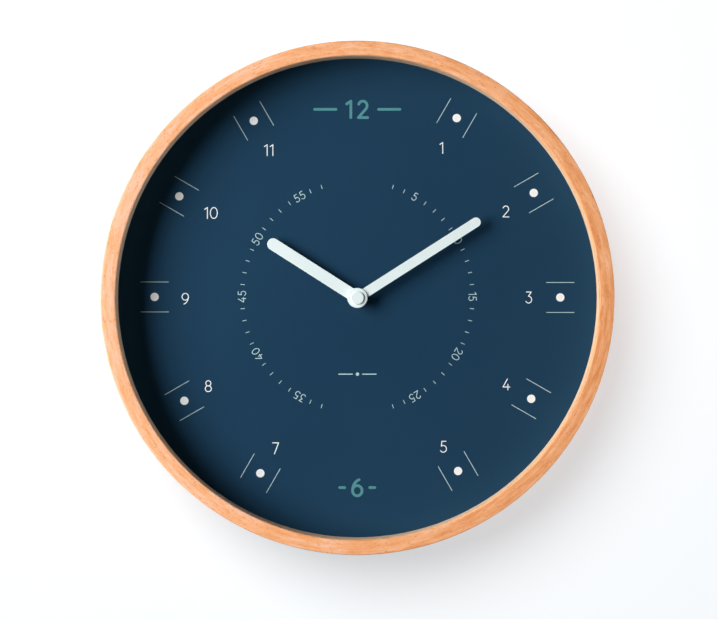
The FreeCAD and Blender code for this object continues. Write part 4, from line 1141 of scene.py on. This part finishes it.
HOUR_TURN = 30.0
MINUTES = 60
MINUTE_TURN = 6.0


@dataclass(frozen=True)
class Stray:
    """How far one hour's print lies off its even place, in millimetres to the right and up."""

    mark: tuple[float, float]
    numeral: tuple[float, float]


HOUR_STRAYS = {
    1: Stray((-1.2, 1.6), (-1.1, 0.8)),
    2: Stray((0.4, 1.3), (-0.2, 0.5)),
    3: Stray((0.0, -0.5), (-0.2, 0.5)),
    4: Stray((-1.1, -0.4), (0.1, -0.1)),
    5: Stray((-0.4, 0.8), (0.2, 0.3)),
    7: Stray((2.7, -0.5), (2.6, -0.6)),
    8: Stray((1.7, -1.6), (0.0, -1.1)),
    9: Stray((0.2, -0.2), (0.0, -0.3)),
    10: Stray((-1.3, -0.7), (1.6, -0.4)),
    11: Stray((-1.2, 0.0), (-1.5, -0.5)),
}


@dataclass
class DialPrinting(Maker):
    """Everything printed on the dial."""

    face: float = 24.0 * MM
    ink: float = 0.05 * MM
    sink: float = 0.02 * MM
    centre_x: float = -0.1 * MM
    centre_z: float = 0.8 * MM
    dot_radius: float = 2.45 * MM
    dot_circle: float = 119.9 * MM
    line_length: float = 16.7 * MM
    line_width: float = 0.37 * MM
    line_offset: float = 8.85 * MM
    numeral_circle: float = 101.6 * MM
    numeral_height: float = 7.0 * MM
    numeral_pen: float = 0.54 * MM
    numeral_drop: float = 1.0 * MM
    ring_circle: float = 68.1 * MM
    ring_height: float = 4.9 * MM
    ring_pen: float = 0.44 * MM
    tick_length: float = 2.2 * MM
    tick_pen: float = 0.36 * MM
    ring_gap: int = 3
    main_height: float = 11.3 * MM
    main_pen: float = 1.6 * MM
    main_spacing: float = 0.42
    twelve_height: float = 111.4 * MM
    twelve_bar: tuple[float, float] = (12.6 * MM, 25.2 * MM)
    six_height: float = -112.0 * MM
    six_bar: tuple[float, float] = (7.4 * MM, 10.4 * MM)
    mark_height: float = -45.0 * MM
    mark_rule: tuple[float, float] = (3.0 * MM, 11.0 * MM)
    mark_pen: float = 0.6 * MM
    mark_dot: float = 1.0 * MM

    def at(self, degrees: float, radius: float, aside: float = 0.0) -> tuple[float, float]:
        """Give a place on the dial.

        Args:
            degrees: Clockwise angle from 12.
            radius: Distance from the middle.
            aside: Distance to the right of the radius.

        Returns:
            Its x and z.
        """
        angle = math.radians(degrees)
        x = self.centre_x + radius * math.sin(angle) + aside * math.cos(angle)
        z = self.centre_z + radius * math.cos(angle) - aside * math.sin(angle)
        return x, z

    def sheet(self, name: str) -> Ink:
        """Start a piece of ink on the dial's face."""
        return Ink(name, self.face - self.sink, self.face + self.ink)

    def hour_marks(self) -> list[tuple[Ink, Finish]]:
        """Draw the dots, the pairs of lines and the ten light numerals.

        Returns:
            The three pieces with their inks.
        """
        dots, lines, numerals = map(self.sheet, ("hour_dots", "hour_lines", "hour_numerals"))
        for hour, stray in HOUR_STRAYS.items():
            angle, shift = hour * HOUR_TURN, np.array(stray.mark) * MM
            dots.disc(*(self.at(angle, self.dot_circle) + shift), self.dot_radius)
            for side in (-self.line_offset, self.line_offset):
                reach = self.line_length / 2 - self.line_width / 2
                ends = [self.at(angle, self.dot_circle + away, side) for away in (-reach, reach)]
                lines.stroke(np.array(ends) + shift, self.line_width)
            x, z = self.at(angle, self.numeral_circle) + np.array(stray.numeral) * MM
            numerals.number(str(hour), x, z - self.numeral_drop, self.numeral_height, self.numeral_pen)
        return [(dots, INK_WHITE), (lines, INK_PALE), (numerals, INK_WHITE)]

    def minute_ring(self) -> list[tuple[Ink, Finish]]:
        """Draw the small minute numbers with fine ticks between them.

        Returns:
            The two pieces with their inks.
        """
        numbers, ticks = self.sheet("minute_numbers"), self.sheet("minute_ticks")
        for minute in range(MINUTES):
            past, angle = minute % (MINUTES // 2), minute * MINUTE_TURN
            if past and minute % 5 == 0:
                place = self.at(angle, self.ring_circle)
                numbers.number(str(minute), *place, self.ring_height, self.ring_pen, angle)
            elif self.ring_gap <= past <= MINUTES // 2 - self.ring_gap:
                reach = self.tick_length / 2
                ends = [self.at(angle, self.ring_circle + away) for away in (-reach, reach)]
                ticks.stroke(np.array(ends), self.tick_pen)
        return [(numbers, INK_PALE), (ticks, INK_PALE)]

    def main_numerals(self) -> list[tuple[Ink, Finish]]:
        """Draw the broad 12 and 6, each between two rounded bars.

        Returns:
            The two pieces with their inks.
        """
        sheets = []
        for name, text, height, bar in (
            ("numeral_twelve", "12", self.twelve_height, self.twelve_bar),
            ("numeral_six", "6", self.six_height, self.six_bar),
        ):
            sheet = self.sheet(name)
            sheet.number(text, self.centre_x, height, self.main_height, self.main_pen,
                         spacing=self.main_spacing)
            for side in (-1.0, 1.0):
                ends = [(self.centre_x + side * away, height) for away in bar]
                sheet.stroke(np.array(ends), self.main_pen)
            sheets.append((sheet, INK_TEAL))
        return sheets

    def small_mark(self) -> list[tuple[Ink, Finish]]:
        """Draw the plain mark below the hands: a dot between two thin rules.

        Returns:
            The piece with its ink.
        """
        sheet = self.sheet("dial_mark")
        for side in (-1.0, 1.0):
            ends = [(side * away, self.mark_height) for away in self.mark_rule]
            sheet.stroke(np.array(ends), self.mark_pen)
        sheet.disc(0.0, self.mark_height, self.mark_dot)
        return [(sheet, INK_PALE)]

    def build(self, shop: Workshop) -> None:
        """Print the dial.

        Args:
            shop: The workshop that mounts the pieces.
        """
        inks = {finish.name: finish.paint() for finish in (INK_WHITE, INK_PALE, INK_TEAL)}
        sheets = self.hour_marks() + self.minute_ring() + self.main_numerals() + self.small_mark()
        for sheet, finish in sheets:
            shop.mount(sheet.mesh(), Body.CASE, Slot.PRINTED_DIAL, material=inks[finish.name])


# Hands and movement

CAD_WELD = 2e-6
FLAT_ANGLE = 0.4
EASED_ANGLE = 38.0
EASE_PARTS = 2
SMOOTH_ANGLE = 20.0


@dataclass(frozen=True)
class EasedPart(Maker):
    """Copy of a CAD node with its sharp edges eased, as a tumbled stamping or a moulding has them."""

    name: str
    node: str
    ease: float
    body: Body
    slot: Slot

    def build(self, shop: Workshop) -> None:
        """Weld the copy, join its flat faces, ease the edges between the others and mount it.

        Args:
            shop: The workshop that mounts the pieces.
        """
        mesh = frame["nodes"][self.node].data.copy()
        mesh.name = self.name
        work = bmesh.new()
        work.from_mesh(mesh)
        bmesh.ops.remove_doubles(work, verts=work.verts, dist=CAD_WELD)
        flat, least = math.radians(FLAT_ANGLE), math.radians(EASED_ANGLE)
        bmesh.ops.dissolve_limit(work, angle_limit=flat, verts=work.verts, edges=work.edges)
        sharp = [
            edge for edge in work.edges
            if len(edge.link_faces) == 2 and edge.calc_face_angle(0.0) > least]
        bmesh.ops.bevel(work, geom=sharp, offset=self.ease, offset_type="OFFSET", segments=EASE_PARTS,
                        profile=0.5, affect="EDGES", clamp_overlap=True)
        bmesh.ops.recalc_face_normals(work, faces=work.faces)
        work.to_mesh(mesh)
        work.free()
        smooth_by_angle(mesh, SMOOTH_ANGLE)
        shop.mount(mesh, self.body, self.slot, self.node)


HAND_PARTS = (
    EasedPart("hour_blade", "hour_hand", 0.16 * MM, Body.HOUR, Slot.HAND_ENAMEL),
    EasedPart("minute_blade", "minute_hand", 0.16 * MM, Body.MINUTE, Slot.HAND_ENAMEL),
    EasedPart("centre_cap", "hand_cap", 0.3 * MM, Body.MINUTE, Slot.HAND_ENAMEL),
)
MOVEMENT_PARTS = (
    EasedPart("cover_moulding", "movement_cover", 0.3 * MM, Body.CASE, Slot.BLACK_PLASTIC),
    EasedPart("housing_moulding", "movement_base", 0.3 * MM, Body.CASE, Slot.BLACK_PLASTIC),
    EasedPart("hanger_stamping", "hanger_plate", 0.15 * MM, Body.CASE, Slot.ZINC_STEEL),
    EasedPart("setting_wheel_knob", "setting_knob", 0.15 * MM, Body.SETTING, Slot.BLACK_PLASTIC),
)

# The cell's section from its flat end to its tip: where a run of points is measured from, the
# radius that it shares, and each point's step along the cell in millimetres and its share.
CELL_RUNS = (
    ("flat_end", "can", (
        (0.0, 0.0), (0.0, 0.62), (0.12, 0.66), (0.12, 0.86), (0.0, 0.9), (0.05, 0.96), (0.25, 0.99),
        (0.6, 1.0))),
    ("shoulder", "can", ((-0.9, 1.0), (-0.35, 0.99), (-0.05, 0.955), (0.0, 0.9), (-0.25, 0.82))),
    ("shoulder", "nub", ((-0.25, 1.25), (-0.2, 1.06), (0.0, 1.0))),
    ("tip", "nub", ((-0.35, 0.97), (-0.08, 0.86), (0.0, 0.62), (0.0, 0.0))),
)


@dataclass
class BatteryCell(Maker):
    """AA cell, turned about its own axis, which runs across."""

    can_radius: float = 7.25 * MM
    nub_radius: float = 2.75 * MM
    length: float = 50.5 * MM
    nub_length: float = 1.0 * MM
    depth: float = 10.2 * MM
    height: float = -19.4 * MM
    segments: int = 72
    sharp_angle: float = 36.0

    def mesh(self) -> Mesh:
        """Turn the cell: a point is (s, -(d + r cos a), h + r sin a) for the section's s and r.

        Returns:
            The mesh.
        """
        half = self.length / 2
        starts = {"flat_end": -half, "shoulder": half - self.nub_length, "tip": half}
        radii = {"can": self.can_radius, "nub": self.nub_radius}
        section = np.array([
            (starts[start] + step * MM, radii[radius] * share)
            for start, radius, spots in CELL_RUNS for step, share in spots])
        angles = np.arange(self.segments)[:, None] * TURN / self.segments
        along, away = section[:, 0][None, :], section[:, 1][None, :]
        depth = -(self.depth + away * np.cos(angles))
        height = self.height + away * np.sin(angles)
        points = np.stack([along + 0.0 * angles, depth, height], axis=-1).reshape(-1, 3)
        return mesh_of("battery_cell", points, grid_faces(self.segments, len(section), True, False))

    def build(self, shop: Workshop) -> None:
        """Turn the cell and mount it.

        Args:
            shop: The workshop that mounts the pieces.
        """
        mesh = self.mesh()
        smooth_by_angle(mesh, self.sharp_angle)
        shop.mount(mesh, Body.CASE, Slot.BATTERY_SLEEVE, "battery")


# Studio

LAMP_DISTANCE = 2.4
WALL_LAMP = "wall_lamp"


def hanging(side: float, slant: float, rise: float) -> Vector:
    """Give the place of a lamp in front of the wall.

    Args:
        side: -1 for the left and 1 for the right.
        slant: Degrees between its light and the wall's normal.
        rise: Degrees above the horizontal, as the camera sees it.

    Returns:
        The place, in metres.
    """
    slant, rise = math.radians(slant), math.radians(rise)
    aside, ahead = LAMP_DISTANCE * math.sin(slant), LAMP_DISTANCE * math.cos(slant)
    return Vector((side * aside * math.cos(rise), -ahead, aside * math.sin(rise)))


@dataclass(frozen=True)
class Lamp:
    """Soft oval lamp that points at the clock, with its power in watts."""

    name: str
    place: Vector
    width: float
    height: float
    power: float

    def hang(self) -> Piece:
        """Hang the lamp.

        Returns:
            The lamp's object.
        """
        data = bpy.data.lights.new(self.name, "AREA")
        data.shape, data.size, data.size_y, data.energy = "ELLIPSE", self.width, self.height, self.power
        made = new_object(self.name, data)
        made.location = self.place
        made.rotation_euler = (-self.place).to_track_quat("-Z", "Y").to_euler()
        return made


LAMPS = (
    Lamp("key_lamp", hanging(-1.0, 55.5, 10.0), 1.5, 2.4, 108.0),
    Lamp("fill_lamp", hanging(1.0, 84.0, -15.0), 0.5, 0.5, 42.0),
    Lamp("rear_lamp", Vector((0.55, 1.15, 0.55)), 0.8, 0.8, 17.0),
    Lamp(WALL_LAMP, hanging(-1.0, 35.0, 45.0), 2.1, 2.1, 84.0),
)


@dataclass(frozen=True)
class Backdrop(Finish):
    """White for the camera, with the clock's soft shadow, and clear from behind."""

    glow_share: float = 0.6
    glow: float = 1.05
    white: Colour = (0.98, 0.99, 1.0)
    glow_tint: Colour = (0.925, 0.965, 1.0)

    def draw(self, graph: Graph) -> None:
        """Fill the graph: a glow and a matt white, for the camera alone and from the front alone.

        Args:
            graph: The material's empty graph.
        """
        seen = graph.node("LightPath").outputs["Is Camera Ray"]
        behind = graph.node("NewGeometry").outputs["Backfacing"]
        hidden = graph.math("MAXIMUM", behind, graph.minus(1.0, seen))
        glow = graph.node("Emission", {"Color": self.glow_tint, "Strength": self.glow})
        matt = graph.node("BsdfDiffuse", {"Color": self.white})
        lit = graph.blend(self.glow_share, matt, glow)
        graph.surface(graph.blend(hidden, lit, graph.node("BsdfTransparent")))


@dataclass
class Studio:
    """Wall, floor, lamps and camera."""

    wall_gap: float = 0.4 * MM
    floor_drop: float = 0.34
    half_side: float = 3.0
    air_tint: Colour = (0.97, 0.985, 1.0)
    ambient: float = 0.03
    shown: float = 1.0
    mirrored: float = 0.5
    sensor_width: float = 36.0
    camera_distance: float = 1.5
    camera_reach: float = 20.0
    camera_x: float = 0.00093
    camera_z: float = -0.00682
    image_width: int = 718
    pixel: float = 0.5829 * MM

    def pane(self, name: str, centre: Sequence[float], up: Sequence[float]) -> Piece:
        """Lay a flat square of the set, whose front is the x axis across its other direction.

        Args:
            name: The object's name.
            centre: Its middle.
            up: Its other direction.

        Returns:
            The staged object.
        """
        across, along = Vector((self.half_side, 0, 0)), Vector(up) * self.half_side
        turns = ((-1, -1), (1, -1), (1, 1), (-1, 1))
        mesh = bpy.data.meshes.new(name)
        corners = [Vector(centre) + across * i + along * j for i, j in turns]
        mesh.from_pydata(corners, [], [(0, 1, 2, 3)])
        made = new_object(name, mesh)
        return made

    def light(self, wall: Sequence[Piece]) -> None:
        """Hang the lamps: one lights the wall alone, and the others the clock alone.

        Args:
            wall: The pieces of the set that the clock's lamps leave out.
        """
        for lamp in LAMPS:
            made = lamp.hang()
            chosen = bpy.data.collections.new(f"{lamp.name}_lights")
            for piece in wall:
                chosen.objects.link(piece)
            for child in chosen.collection_objects:
                child.light_linking.link_state = "INCLUDE" if lamp.name == WALL_LAMP else "EXCLUDE"
            made.light_linking.receiver_collection = chosen

    def sky(self) -> None:
        """Fill the world: white for the camera, dimmer in mirrors, and dim as fill light."""
        world = bpy.data.worlds.new("studio_air")
        bpy.context.scene.world = world
        graph = Graph(world)
        path = graph.node("LightPath").outputs
        seen = path["Is Camera Ray"]
        lit = graph.math("MULTIPLY_ADD", seen, self.shown - self.ambient, self.ambient)
        mirrored = graph.math("MAXIMUM", path["Is Glossy Ray"], path["Is Transmission Ray"])
        strength = graph.math("MAXIMUM", lit, graph.times(mirrored, self.mirrored))
        air = graph.node("Background", {"Color": self.air_tint, "Strength": strength})
        graph.surface(air, "OutputWorld")

    def build(self) -> None:
        """Set up the studio."""
        white = Backdrop("studio_white").paint()
        wall = (
            self.pane("studio_wall", (0, self.wall_gap, 0), (0, 0, 1)),
            self.pane("studio_floor", (0, 0, -self.floor_drop), (0, 1, 0)),
        )
        for piece in wall:
            piece.data.materials.append(white)
        self.light(wall)
        self.sky()
        camera = bpy.data.cameras.new("camera")
        camera.sensor_width = self.sensor_width
        camera.lens = self.sensor_width * self.camera_distance / (self.image_width * self.pixel)
        camera.clip_end = self.camera_reach
        holder = new_object("camera", camera)
        holder.location = (self.camera_x, CAD_LOW.y - self.camera_distance, self.camera_z)
        holder.rotation_euler = (math.radians(90.0), 0.0, 0.0)
        scene = bpy.context.scene
        scene.camera = holder
        scene.view_settings.view_transform = "Standard"


def main() -> None:
    """Build the clock and its studio in order."""
    logging.basicConfig(level=logging.INFO, format="%(name)s: %(message)s")
    shop = Workshop()
    shop.dress_nodes()
    makers: tuple[Maker, ...] = (CaseRim(), DialPrinting(), *HAND_PARTS, BatteryCell(), *MOVEMENT_PARTS)
    for maker in makers:
        maker.build(shop)
    Studio().build()


if __name__ == "__main__":
    main()
